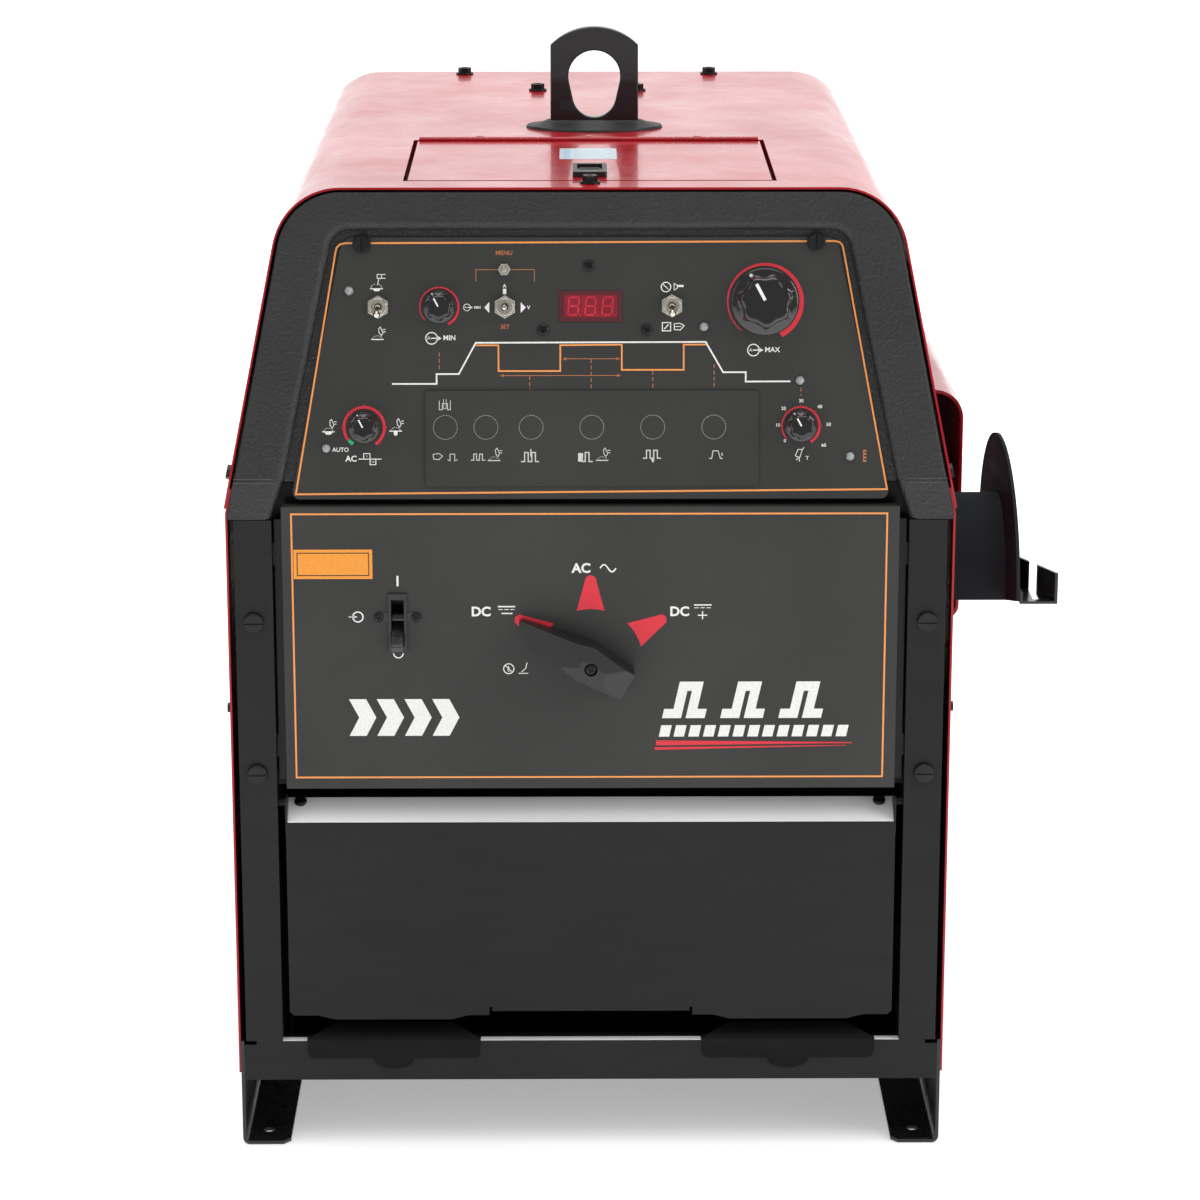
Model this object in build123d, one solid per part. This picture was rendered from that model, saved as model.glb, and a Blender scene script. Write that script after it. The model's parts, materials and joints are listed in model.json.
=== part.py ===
from build123d import *
import os
from math import atan, cos, degrees, radians, sin, tan

os.makedirs("parts", exist_ok=True)

# TIG welding machine. Millimetres, +Z up, front face towards -Y.
# The model is drawn with y = 0 on the front face and is moved on export, so that
# the origin is the centre of the four floor holes, at floor level.

# ---------------------------------------------------------------- driving sizes
SHEET = 1.5                    # case sheet steel
HALF_WIDTH = 254.0             # side panels' outer faces
CASE_DEPTH = 655.0
SKID_DEPTH = 660.0
SHOULDER_Z = 471.0             # where the side walls start to lean in
TOP_Z = 694.0
LEAN = 0.198                   # inward lean of the upper walls, mm per mm
CORNER_R = 46.0
LIP_Z = 475.0                  # lower edge of the roof's skirt

CREASE_Z = 494.67              # below it the front is upright, above it leans back
TILT = degrees(atan(0.1656))
BEZEL_FOOT = 467.0
BEZEL_LEG = 18.0               # depth of the bezel's upright legs
RECESS = 7.0                   # control panel behind the bezel's face
PANEL_T = 2.0

BASE_BOTTOM = 50.0
BASE_TOP = 80.0
BASE_HALF = 250.0
SKID_T = 2.5
SKID_INNER = 218.0
FLOOR_HOLE_X = 235.0
FLOOR_HOLE_R = 4.0
FLOOR_HOLE_INSET = 21.0

POST_INNER = 222.0
POST_OUTER = 248.4
POST_SCREW_X = 235.7
RAIL_Z = 456.0                 # lower edge of the cross rail
LOWER_HALF = 215.0             # lower panel
LOWER_BOTTOM = 271.0
LOWER_TOP = 476.0
RETURN = 12.0                  # bent edge of the lower panel

DOOR_HALF = 216.5
DOOR_BOTTOM = 99.5
DOOR_TOP = 245.0
DOOR_FLANGE = (20.0, 258.2)    # rear edge of the door's sloping top (y, z)
DOOR_PIVOT = (9.0, 258.0)
DOOR_PIN_R = 3.0
TAB_DROP = 3.1                  # steps in the door's lower edge
NOTCH_HALF = 73.0
GUARD_REACH = 13.0             # from the base's face to the cable guards' rear edge
RUN = 0.05                     # radial running clearance

POLARITY_Z = 366.0
POLARITY_REST = 60.0           # handle's angle to the left of upright
SWITCH_X = -135.0
SWITCH_Z = 392.5
SWITCH_PIVOT_Y = 14.0
SWITCH_TILT = 32.0

OUTPUT_Y = 110.0               # recessed output panel
STUD_X = 142.0
STUD_Z = 152.0
STUD_R = 6.35
OUTLET_X = 62.0                # shielding gas outlet, level with the studs
OUTLET_R = 7.9
REMOTE_Z = 195.0
REMOTE_R = 17.0
TOWER_HALF = 150.0             # upper part of the output panel
TOWER_TOP = 592.0

LID_HALF = 126.8
LID_FRONT = 65.0
LID_GAP = 3.2
HINGE_Y = 254.0
HINGE_Z = 694.6
HINGE_R = 2.3
KNUCKLE = 12.6
KNUCKLES = 20
HINGE_RELIEF = 3.7             # from the pin to the roof's edge
HINGE_PIN_R = 1.0

BAIL_X = 4.5
BAIL_Y = 321.0
BAIL_T = 8.0
BAIL_HALF = 33.2
BAIL_EYE = ((733.4, 19.6), (719.2, 16.5))   # the eye's two circles (z, radius)
BAIL_SHOULDER = 757.0
BAIL_APEX = 771.0

HANGER_Y = 195.0
HANGER_Z = 373.0
HANGER_R = 64.5
HANGER_X = 308.0               # outer plate's outer face
HANGER_HALF = 131.0
HANGER_APEX = 480.0
HANGER_BROW = 390.0            # height of the plate's ends
HANGER_T = 2.5
REST_OUT = 335.0               # torch rest's outer edge

HOOD_FRONT = 330.0
HOOD_REAR = 640.0
HOOD_OUT = 291.0
HOOD_BOTTOM = 308.0
HOOD_TOP = 484.0

FAN_Y = 575.0
FAN_Z = 285.0
FAN_R = 112.0

# controls on the sloping panel: (x, z, radius, height)
KNOBS = {
    "knob_min": (-104.5, 613.1, 11.4, 15.0),
    "knob_max": (120.7, 616.5, 23.0, 20.0),
    "knob_balance": (-156.9, 530.9, 10.9, 15.0),
    "knob_postflow": (146.0, 531.5, 11.0, 15.0),
}
KNOB_FLUTES = 7
KNOB_REST = 28.0               # pointers' angle to the left of upright
SHAFT_R = 3.0
# toggle switches: (x, z, lift angle, sideways)
TOGGLES = {
    "toggle_mode": (-146.8, 613.1, -16.0),
    "toggle_display": (-59.1, 613.1, 0.0),
    "toggle_remote": (56.5, 613.7, -16.0),
}
TOGGLE_PIVOT = 3.0             # above the panel's face
MENU_BUTTON = (-59.4, 638.5)
DISPLAY = (0.2, 613.4, 43.4, 21.4)
LEDS = [(-166.7, 624.1), (78.8, 599.3), (145.4, 562.6), (-183.3, 516.5), (180.4, 510.6)]
QUARTER_TURNS = [(-157.7, 655.7), (156.2, 657.0)]
OPTION_COVER = (-114.5, 116.8, 490.5, 556.0)
POST_SCREWS = [393.0, 282.0]
TOP_SCREWS = [(-102.5, 638.5), (102.5, 638.5), (-40.3, 534.0), (40.3, 534.0), (0.0, 52.0)]

CORE_TOP = 330.0
LATCH_Y = 77.0
SIDE_SCREW_Y = 70.0
SIDE_SCREW_Z = 484.0
LOW_SCREW = (17.0, 326.0)      # small screw near each front corner (y, z)
GAS_X = 165.0
GAS_Z = 130.0
GAS_R = 7.9
GLAND = (150.0, 520.0)
GLAND_R = 14.0
DUPLEX = (-150.0, 570.0)
BREAKERS = {"breaker_button_upper": 585.0, "breaker_button_lower": 555.0}
BREAKER_X = -60.0

FRONT = Plane(origin=(0, 0, CREASE_Z), x_dir=(1, 0, 0),
              z_dir=(0, -cos(radians(TILT)), sin(radians(TILT))))
PANEL = FRONT.offset(-RECESS)


# -------------------------------------------------------------------- helpers
def export(name, shape):
    export_step(Pos(0, -SKID_DEPTH / 2, 0) * shape, f"parts/{name}.step")


def block(x, y, z):
    """Box between two limits on each axis."""
    size = (x[1] - x[0], y[1] - y[0], z[1] - z[0])
    middle = ((x[0] + x[1]) / 2, (y[0] + y[1]) / 2, (z[0] + z[1]) / 2)
    return Pos(*middle) * Box(*size)


def rod_x(y, z, x0, x1, r):
    return Pos((x0 + x1) / 2, y, z) * Rot(0, 90, 0) * Cylinder(r, abs(x1 - x0))


def rod_y(x, z, y0, y1, r):
    return Pos(x, (y0 + y1) / 2, z) * Rot(90, 0, 0) * Cylinder(r, abs(y1 - y0))


def rod_z(x, y, z0, z1, r):
    return Pos(x, y, (z0 + z1) / 2) * Cylinder(r, abs(z1 - z0))


def from_front(sketch, y0, y1):
    """Extrude a sketch drawn in (x, z) from y0 to y1."""
    return Pos(0, y1, 0) * extrude(Plane.XZ * sketch, amount=y1 - y0)


def from_side(sketch, x0, x1):
    """Extrude a sketch drawn in (y, z) from x0 to x1."""
    return Pos(x0, 0, 0) * extrude(Plane.YZ * sketch, amount=x1 - x0)


def outline(*points):
    return make_face(Polyline(*points, close=True))


def mirrored(shape):
    return mirror(shape, about=Plane.YZ)


def slope(z):
    """Height on the front as a distance up the sloping face from its crease."""
    return (z - CREASE_Z) / cos(radians(TILT))


def on_panel(x, z, lift=0.0):
    """Location on the control panel's face, local Z pointing out of the panel."""
    return PANEL.location * Pos(x, slope(z), lift)


def behind_slope():
    """Everything behind the sloping face, to trim the top of the case."""
    far = CASE_DEPTH + 100
    rise = 400.0
    side = outline((0, -50), (far, -50), (far, CREASE_Z + rise),
                   (rise * tan(radians(TILT)), CREASE_Z + rise), (0, CREASE_Z))
    return from_side(side, -400, 400)


def case_section(grow=0.0, foot=BASE_TOP):
    """Case outline in (x, z), at the inner face of the roof, grown outwards."""
    half = HALF_WIDTH + grow
    top = TOP_Z - SHEET + grow
    narrow = half - LEAN * (top - SHOULDER_Z)
    face = outline((-half, foot), (-half, SHOULDER_Z), (-narrow, top),
                   (narrow, top), (half, SHOULDER_Z), (half, foot))
    corners = [v for v in face.vertices() if v.Y > top - 1]
    return fillet(corners, CORNER_R + grow)


# ------------------------------------------------------------------- structure
def skid():
    """Right-hand floor runner: an L-section with a mounting hole at each end."""
    outer = HALF_WIDTH - SHEET
    section = outline((SKID_INNER, 0), (outer, 0), (outer, BASE_TOP),
                      (BASE_HALF, BASE_TOP), (BASE_HALF, SKID_T), (SKID_INNER, SKID_T))
    section = fillet([v for v in section.vertices() if v.X > outer - 1 and v.Y < 1], 5.0)
    section = fillet([v for v in section.vertices() if v.X < BASE_HALF + 1 and 1 < v.Y < 10
                      and v.X > BASE_HALF - 1], 2.5)
    body = from_front(section, 0, SKID_DEPTH)
    for y in (FLOOR_HOLE_INSET, SKID_DEPTH - FLOOR_HOLE_INSET):
        body -= rod_z(FLOOR_HOLE_X, y, -1, SKID_T + 1, FLOOR_HOLE_R)
    for y in (0, SKID_DEPTH):
        inward = 6.0 if y == 0 else -6.0
        snip = outline((SKID_INNER - 1, y - inward), (SKID_INNER + 5, y - inward),
                       (SKID_INNER + 5, y), (SKID_INNER, y + inward), (SKID_INNER - 1, y + inward))
        body -= Pos(0, 0, -1) * extrude(snip, amount=SKID_T + 2)
    return body


def base_pan():
    """Tray with a front and rear wall, each turned back along its top."""
    wall = 2.0
    pan = block((-BASE_HALF, BASE_HALF), (0, CASE_DEPTH), (BASE_BOTTOM, BASE_TOP))
    inside = BASE_HALF - wall
    pan -= block((-inside, inside), (wall, CASE_DEPTH - wall), (BASE_BOTTOM + wall, BASE_TOP - wall))
    pan -= block((-inside, inside), (16, CASE_DEPTH - 16), (BASE_BOTTOM + wall, BASE_TOP + 1))
    for side in (-1, 1):
        notch = sorted((side * (BASE_HALF - 9), side * (BASE_HALF + 1)))
        pan -= block(notch, (-1, 10), (BASE_TOP - 3, BASE_TOP + 1))
    return pan


def front_frame():
    """Folded posts with the output bay's side walls, strips behind the grooves, and a rail."""
    height = (BASE_TOP, BEZEL_FOOT - 0.5)
    wall = (POST_OUTER - SHEET, POST_OUTER)
    post = block((POST_INNER, POST_OUTER), (0, SHEET), height)
    post += block(wall, (0, 32), height)
    post += block(wall, (BEZEL_LEG + 2, 32), (BASE_TOP, SHOULDER_Z))
    post += block((POST_INNER, POST_INNER + SHEET), (0, 22), height)
    post += block((POST_INNER, POST_INNER + SHEET), (20, OUTPUT_Y - 0.5), (BASE_TOP + 0.3, LOWER_BOTTOM - 3))
    post -= rod_x(*DOOR_PIVOT, POST_INNER - 1, POST_INNER + 3, DOOR_PIN_R + RUN)
    for z in POST_SCREWS:
        post -= rod_y(POST_SCREW_X, z, -1, 3, 3.2)
    rail_y = (BEZEL_LEG + 2, BEZEL_LEG + 4)
    rail = block((-246, 246), rail_y, (RAIL_Z, CREASE_Z - 5.67))
    rail += block((-BASE_HALF + 0.5, BASE_HALF - 0.5), rail_y, (RAIL_Z, SHOULDER_Z))
    post += block((LOWER_HALF - 10, POST_OUTER), rail_y, (LOWER_BOTTOM - 3, RAIL_Z + 1))
    return post + mirrored(post) + rail


def side_panel():
    """Right side wall: upright, with its top edge leaning in under the roof."""
    top = LIP_Z + 14
    lean = LEAN * (top - SHOULDER_Z)
    section = outline((HALF_WIDTH - SHEET, 55.5), (HALF_WIDTH, 55.5), (HALF_WIDTH, SHOULDER_Z),
                      (HALF_WIDTH - lean, top), (HALF_WIDTH - SHEET - lean, top),
                      (HALF_WIDTH - SHEET, SHOULDER_Z))
    return from_front(section, 1, CASE_DEPTH)


def side_panel_right():
    """Wall under the vent hood, with two columns of louvre slots."""
    panel = side_panel()
    for y in (395, 545):
        for z in range(336, 456, 15):
            slot = RectangleRounded(110, 6, 2.9)
            panel -= from_side(Pos(y, z) * slot, HALF_WIDTH - 5, HALF_WIDTH + 5)
    return panel


def side_panel_left():
    """Plain wall with a row of louvre slots low at the rear."""
    panel = mirrored(side_panel())
    for y in (430, 560):
        for z in range(120, 226, 15):
            slot = RectangleRounded(100, 6, 2.9)
            panel -= from_side(Pos(y, z) * slot, -HALF_WIDTH - 5, -HALF_WIDTH + 5)
    return panel


def roof():
    """Folded cover with the storage opening, the bail's slot and the screw holes."""
    shell = from_front(case_section(SHEET) - case_section(0, BASE_TOP - 1), 0, CASE_DEPTH)
    shell -= block((-300, 300), (-1, CASE_DEPTH + 1), (BASE_TOP - 5, LIP_Z))
    shell &= behind_slope()
    half = LID_HALF + LID_GAP
    rim = half + SHEET
    front, rear = LID_FRONT - LID_GAP, HINGE_Y + HINGE_RELIEF
    collar = block((-rim, rim), (front - SHEET, rear + SHEET), (TOP_Z - 12, TOP_Z - SHEET))
    shell += collar
    shell -= block((-half, half), (front, rear), (TOP_Z - 13, TOP_Z + 1))
    shell -= block((BAIL_X - 35, BAIL_X + 35), (BAIL_Y - 5, BAIL_Y + 5), (TOP_Z - 5, TOP_Z + 1))
    return shell


def rear_panel():
    """Back wall with louvre slots and the holes for the fittings."""
    above_walls = Pos(0, LIP_Z + 215) * Rectangle(600, 400)
    outer = case_section(-SHEET) + (case_section(-0.3) & above_walls)
    plate = from_front(outer, CASE_DEPTH - SHEET, CASE_DEPTH)
    for x in (-62, 62):
        for z in range(190, 391, 16):
            slot = Pos(x, z) * RectangleRounded(100, 7, 3.4)
            plate -= from_front(slot, CASE_DEPTH - 3, CASE_DEPTH + 1)
    plate -= rod_y(*GLAND, CASE_DEPTH - 3, CASE_DEPTH + 1, 20.1)
    plate -= rod_y(GAS_X, GAS_Z, CASE_DEPTH - 3, CASE_DEPTH + 1, 10.1)
    x, z = DUPLEX
    plate -= block((x - 31.1, x + 31.1), (CASE_DEPTH - 3, CASE_DEPTH + 1), (z - 37.1, z + 37.1))
    for z in BREAKERS.values():
        plate -= rod_y(BREAKER_X, z, CASE_DEPTH - 3, CASE_DEPTH + 1, 9.1)
    return plate


def bezel():
    """Moulded surround of the control panel, open at its foot, hollow behind."""
    gap, depth, wall = 1.8, 26.0, 4.0
    half = HALF_WIDTH - gap
    top = TOP_Z - SHEET - 1.2
    narrow = half - LEAN * (top - SHOULDER_Z)
    wide = half - LEAN * (CREASE_Z - SHOULDER_Z)
    outer = outline((-wide, 0), (-narrow, slope(top)), (narrow, slope(top)), (wide, 0))
    outer = fillet([v for v in outer.vertices() if v.Y > 100], CORNER_R - gap)
    eave = slope(665.3)
    inner = outline((-213, -1), (-177, eave), (177, eave), (213, -1))
    inner = fillet([v for v in inner.vertices() if v.Y > 100], 14.0)
    frame = extrude(outer - inner, amount=-depth)
    face = frame.edges().filter_by_position(Axis.Z, -0.01, 0.01)
    mouth = [e for e in face if abs(e.center().X) < 214 and 0.5 < e.center().Y < eave + 1]
    frame = fillet(mouth, 6.0)
    face = frame.edges().filter_by_position(Axis.Z, -0.01, 0.01)
    rim = [e for e in face if e.center().Y > eave + 12 or (abs(e.center().X) > 220 and e.center().Y > 1)]
    frame = fillet(rim, 2.0)
    cavity = offset(outer, amount=-wall) - offset(inner, amount=wall)
    frame -= Pos(0, 0, -wall) * extrude(cavity, amount=-depth)
    ledge = inner - offset(inner, amount=-9)
    frame += Pos(0, 0, -RECESS - PANEL_T) * extrude(ledge, amount=-3)
    upper = FRONT.location * frame
    leg = outline((213, CREASE_Z), (POST_INNER, BEZEL_FOOT), (half, BEZEL_FOOT), (half, SHOULDER_Z),
                  (wide, CREASE_Z))
    foot = from_front(leg, 0, BEZEL_LEG)
    edge = [e for e in foot.edges().filter_by_position(Axis.Y, -0.01, 0.01) if e.center().X < 219]
    foot = fillet(edge, 6.0)
    foot -= from_front(offset(leg, amount=-wall), wall, BEZEL_LEG + 1)
    return upper + foot + mirrored(foot)


# ---------------------------------------------------------------- control panel
def control_panel():
    top, bottom = slope(660.5), slope(481.6)
    plate = outline((-208, bottom), (-171, top), (171, top), (208, bottom))
    plate = fillet([v for v in plate.vertices() if v.Y > 100], 10)
    plate = fillet([v for v in plate.vertices() if v.Y < 0], 5)
    panel = PANEL.location * extrude(plate, amount=-PANEL_T)
    for x, z, _, _ in KNOBS.values():
        panel -= on_panel(x, z) * Cylinder(SHAFT_R + 1, 10)
    for x, z, _ in TOGGLES.values():
        panel -= on_panel(x, z) * Cylinder(6.0, 10)
    panel -= on_panel(*MENU_BUTTON) * Cylinder(3.2, 10)
    x, z, width, height = DISPLAY
    panel -= on_panel(x, z) * Box(width + 0.4, height + 0.4, 10)
    for x, z in LEDS:
        panel -= on_panel(x, z) * Cylinder(3.3, 10)
    return panel


def option_cover():
    """Blank cover plate for the fitting kit, proud of the panel."""
    x0, x1, z0, z1 = OPTION_COVER
    plate = RectangleRounded(x1 - x0, slope(z1) - slope(z0), 3)
    cover = extrude(plate, amount=1.2)
    return on_panel((x0 + x1) / 2, (z0 + z1) / 2) * cover


def display_module():
    """Three-digit display: a case behind the panel and a window through it."""
    x, z, width, height = DISPLAY
    window = Pos(0, 0, -3.8) * Box(width, height, 8.0)
    case = Pos(0, 0, -12) * Box(width + 12, height + 10, 12)
    return on_panel(x, z) * (window + case)


def knob(x, z, radius, height):
    """Skirted knob with flutes, a pointer groove and its shaft."""
    profile = Polyline((0, 0.8), (radius, 0.8), (radius, 4.0), (radius * 0.86, 6.5),
                       (radius * 0.80, height - 1.2), (radius * 0.74, height), (0, height), close=True)
    body = revolve(Plane.XZ * make_face(profile), axis=Axis.Z)
    flute = radius * 0.30
    for i in range(KNOB_FLUTES):
        scoop = Pos(radius * 0.80 + flute * 0.72, 0, height / 2 + 6.6) * Cylinder(flute, height)
        body -= Rot(0, 0, 90 + (i + 0.5) * 360 / KNOB_FLUTES) * scoop
    groove = Pos(0, radius * 0.42, height) * Box(1.0, radius * 0.75, 0.8)
    body -= groove
    body = Rot(0, 0, KNOB_REST) * body
    body += Pos(0, 0, -5) * Cylinder(SHAFT_R, 14)
    return on_panel(x, z) * body


def panel_pots():
    """Potentiometer bodies behind the panel, one for each knob."""
    cans = []
    for x, z, _, _ in KNOBS.values():
        can = Pos(0, 0, -PANEL_T - 6.5) * Cylinder(9.0, 13.0)
        can -= Pos(0, 0, -PANEL_T - 5.2) * Cylinder(SHAFT_R + RUN, 10.6)
        cans.append(on_panel(x, z) * can)
    return Compound(cans)


def toggle_switch():
    """Threaded bush with a hex nut and a body, open for the lever."""
    nut = extrude(RegularPolygon(8.0, 6, rotation=30), amount=3.0)
    bush = nut + Pos(0, 0, -0.5) * Cylinder(5.9, 15.0)
    bush += Pos(0, 0, -PANEL_T - 7.5) * Box(13, 22, 11)
    bush -= Pos(0, 0, TOGGLE_PIVOT + 1) * Cylinder(4.4, 10.0)
    bush += Pos(0, 0, -2.9) * Cylinder(5.9, 1.0)
    return bush


def toggle_lever(x, z, lift):
    """Bat-shaped lever on a ball, tilted to its rest position."""
    ball = Sphere(2.6)
    bat = Polyline((0, 0), (1.35, 0), (1.5, 9.0), (2.5, 17.5), (1.6, 19.6), (0, 19.9), close=True)
    bat = revolve(Plane.XZ * make_face(bat), axis=Axis.Z)
    return on_panel(x, z, TOGGLE_PIVOT) * Rot(-lift, 0, 0) * (ball + bat)


def menu_bush():
    nut = extrude(RegularPolygon(4.4, 6), amount=2.6)
    bush = nut + Pos(0, 0, -3) * Cylinder(3.1, 9)
    bush += Pos(0, 0, -PANEL_T - 6.5) * Box(9, 9, 9)
    bush -= Pos(0, 0, -1.9) * Cylinder(1.8 + RUN, 9.2)
    return on_panel(*MENU_BUTTON) * bush


def switch_bushes():
    """Bushes, nuts and bodies of the toggle switches and the push button."""
    toggles = [on_panel(x, z) * toggle_switch() for x, z, _ in TOGGLES.values()]
    return Compound(toggles + [menu_bush()])


def menu_button():
    button = Pos(0, 0, 0.9) * Cylinder(1.8, 8.2)
    button = chamfer(button.edges().group_by(Axis.Z)[-1], 0.4)
    return on_panel(*MENU_BUTTON) * button


def panel_leds():
    """Clear domed lenses with a collar behind the panel."""
    lenses = []
    for x, z in LEDS:
        lens = Pos(0, 0, -1.0) * Cylinder(3.0, 3.0) + Pos(0, 0, 0.4) * Sphere(2.9)
        lens += Pos(0, 0, -PANEL_T - 2) * Cylinder(3.8, 4.0)
        lenses.append(on_panel(x, z) * lens)
    return Compound(lenses)


# ----------------------------------------------------------------- lower panel
def lower_panel():
    panel = block((-LOWER_HALF, LOWER_HALF), (0, RETURN), (LOWER_BOTTOM, LOWER_TOP))
    inside = LOWER_HALF - SHEET
    panel -= block((-inside, inside), (SHEET, RETURN + 1), (LOWER_BOTTOM + SHEET, LOWER_TOP - SHEET))
    panel -= rod_y(0, POLARITY_Z, -1, 3, 7.5)
    panel -= block((SWITCH_X - 6.2, SWITCH_X + 6.2), (-1, 3), (SWITCH_Z - 19, SWITCH_Z + 19))
    for side in (-1, 1):
        flange = sorted((side * inside, side * (POST_INNER - 1.2)))
        panel += block(flange, (RETURN - 2.5, RETURN - 1), (LOWER_BOTTOM + 4, BEZEL_FOOT - 2))
        tab = sorted((side * inside, side * POST_INNER))
        for z in (300, 440):
            panel += block(tab, (RETURN - 2.5, RETURN - 1), (z - 8, z + 8))
    return panel


def polarity_handle():
    """Pointed handle with a ridge, a flat tail and its shaft."""
    tip, tail, half = 57.0, 30.0, 13.5
    plan = outline((-half, 4), (-2.0, tip), (2.0, tip), (half, 4), (half - 2, -14),
                   (10, -tail), (-10, -tail), (-half + 2, -14))
    body = extrude(plan, amount=27)
    for side in (-1, 1):
        ridge = outline((0, 29), (side * 20, 17), (side * 20, 40), (0, 40))
        body -= Pos(0, tip + 2, 0) * extrude(Plane.XZ * ridge, amount=tip + tail + 4)
    nose = outline((0, 30), (tip + 1, 9), (tip + 1, 40), (0, 40))
    tail_cut = outline((-4, 30), (-tail - 1, 19), (-tail - 1, 40), (-4, 40))
    body -= Pos(-25, 0, 0) * extrude(Plane.YZ * nose, amount=50)
    body -= Pos(-25, 0, 0) * extrude(Plane.YZ * tail_cut, amount=50)
    body = fillet(body.edges().filter_by(Axis.Z), 1.0)
    body = Pos(0, 0, 1.2) * body
    body -= Pos(0, 0, 28) * Cylinder(4.6, 6)
    body += Pos(0, 0, 24.6) * Cylinder(4.2, 3.0)
    body += Pos(0, 0, -16) * Cylinder(6.0, 36)
    facing = Plane(origin=(0, 0, POLARITY_Z), x_dir=(1, 0, 0), z_dir=(0, -1, 0))
    return facing.location * Rot(0, 0, POLARITY_REST) * body


def polarity_switch():
    """Drum switch body behind the lower panel."""
    body = block((-45, 45), (SHEET, 92), (POLARITY_Z - 45, POLARITY_Z + 45))
    body = fillet(body.edges().filter_by(Axis.Y), 8.0)
    body -= rod_y(0, POLARITY_Z, 0, 40, 6.0 + RUN)
    for z in (-30, 0, 30):
        for side in (-1, 1):
            lug = sorted((side * 44, side * 62))
            body += block(lug, (70, 75), (POLARITY_Z + z - 7, POLARITY_Z + z + 7))
    return body


def power_switch():
    """Circuit-breaker switch: surround on the panel and a body with a lever slot."""
    surround = block((SWITCH_X - 6.6, SWITCH_X + 6.6), (-1.6, 0), (SWITCH_Z - 21.5, SWITCH_Z + 21.5))
    neck = block((SWITCH_X - 6.0, SWITCH_X + 6.0), (-1, 4), (SWITCH_Z - 18.5, SWITCH_Z + 18.5))
    case = block((SWITCH_X - 9, SWITCH_X + 9), (4, 66), (SWITCH_Z - 34, SWITCH_Z + 34))
    body = surround + neck + case
    body -= block((SWITCH_X - 4.5, SWITCH_X + 4.5), (-2, 24), (SWITCH_Z - 17, SWITCH_Z + 17))
    body -= rod_x(SWITCH_PIVOT_Y, SWITCH_Z, SWITCH_X - 7.5, SWITCH_X + 7.5, 2.0 + RUN)
    for side in (-1, 1):
        body += rod_y(SWITCH_X + side * 13, SWITCH_Z + 4.5, -1.4, 0, 2.8)
        body += block(sorted((SWITCH_X + side * 6, SWITCH_X + side * 15)), (-0.6, 0),
                      (SWITCH_Z + 1, SWITCH_Z + 8))
    return body


def power_lever():
    lever = Cylinder(6.5, 8.2)
    lever += Cylinder(2.0, 13.6)
    lever = Rot(0, 90, 0) * lever
    arm = block((-4.1, 4.1), (-31, 0), (-3.2, 3.2))
    arm = fillet(arm.edges().filter_by(Axis.X).group_by(Axis.Y)[0], 1.5)
    lever = Rot(SWITCH_TILT, 0, 0) * (lever + arm)
    return Pos(SWITCH_X, SWITCH_PIVOT_Y, SWITCH_Z) * lever


# ----------------------------------------------------------------- output bay
def output_door():
    """Drop-front cover that swings up on two pins; cable gaps along its foot."""
    rear_y, rear_z = DOOR_FLANGE
    skin = outline((0, DOOR_BOTTOM), (0, DOOR_TOP), (rear_y, rear_z), (rear_y, rear_z - SHEET),
                   (SHEET, DOOR_TOP - SHEET), (SHEET, DOOR_BOTTOM))
    door = from_side(skin, -DOOR_HALF, DOOR_HALF)
    door -= block((-NOTCH_HALF, NOTCH_HALF), (-1, SHEET + 1), (DOOR_BOTTOM - 1, DOOR_BOTTOM + TAB_DROP))
    for side in (-1, 1):
        corner = outline((side * (DOOR_HALF + 1), DOOR_BOTTOM - 1), (side * (DOOR_HALF - 4), DOOR_BOTTOM - 1),
                         (side * (DOOR_HALF + 1), DOOR_BOTTOM + 4))
        door -= from_front(corner, -1, 3)
        tab = outline((side * (STUD_X - 54), DOOR_BOTTOM), (side * (STUD_X - 42), DOOR_BOTTOM - TAB_DROP),
                      (side * (STUD_X + 42), DOOR_BOTTOM - TAB_DROP), (side * (STUD_X + 54), DOOR_BOTTOM))
        door += from_front(tab, 0, SHEET)
        relief = sorted((side * NOTCH_HALF, side * (NOTCH_HALF - 2)))
        door -= block(relief, (-1, SHEET + 1), (DOOR_BOTTOM - 1, DOOR_BOTTOM + 2 * TAB_DROP))
        py, pz = DOOR_PIVOT
        ear = outline((0.2, DOOR_TOP - 8), (0.2, pz + 2), (4, pz + 5), (py + 5, pz + 5),
                      (py + 7, pz - 1), (py + 7, DOOR_TOP - 4))
        inner, outer = sorted((side * (DOOR_HALF + 0.3), side * (DOOR_HALF - 1.2)))
        door += from_side(ear, inner, outer)
        door += rod_x(py, pz, side * (DOOR_HALF - 1), side * (POST_INNER + 2.4), DOOR_PIN_R)
    return door


def output_panel():
    """Recessed panel that carries the output studs and sockets."""
    thick = (OUTPUT_Y, OUTPUT_Y + 2)
    panel = block((-POST_INNER, POST_INNER), thick, (BASE_BOTTOM + 2, LOWER_BOTTOM - 9))
    panel += block((-TOWER_HALF, TOWER_HALF), thick, (LOWER_BOTTOM - 9, TOWER_TOP))
    for x in (-STUD_X, STUD_X):
        panel -= rod_y(x, STUD_Z, OUTPUT_Y - 1, OUTPUT_Y + 3, 12.0)
    panel -= rod_y(OUTLET_X, STUD_Z, OUTPUT_Y - 1, OUTPUT_Y + 3, OUTLET_R + 0.1)
    panel -= rod_y(0, REMOTE_Z, OUTPUT_Y - 1, OUTPUT_Y + 3, REMOTE_R + 0.2)
    return panel


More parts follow.
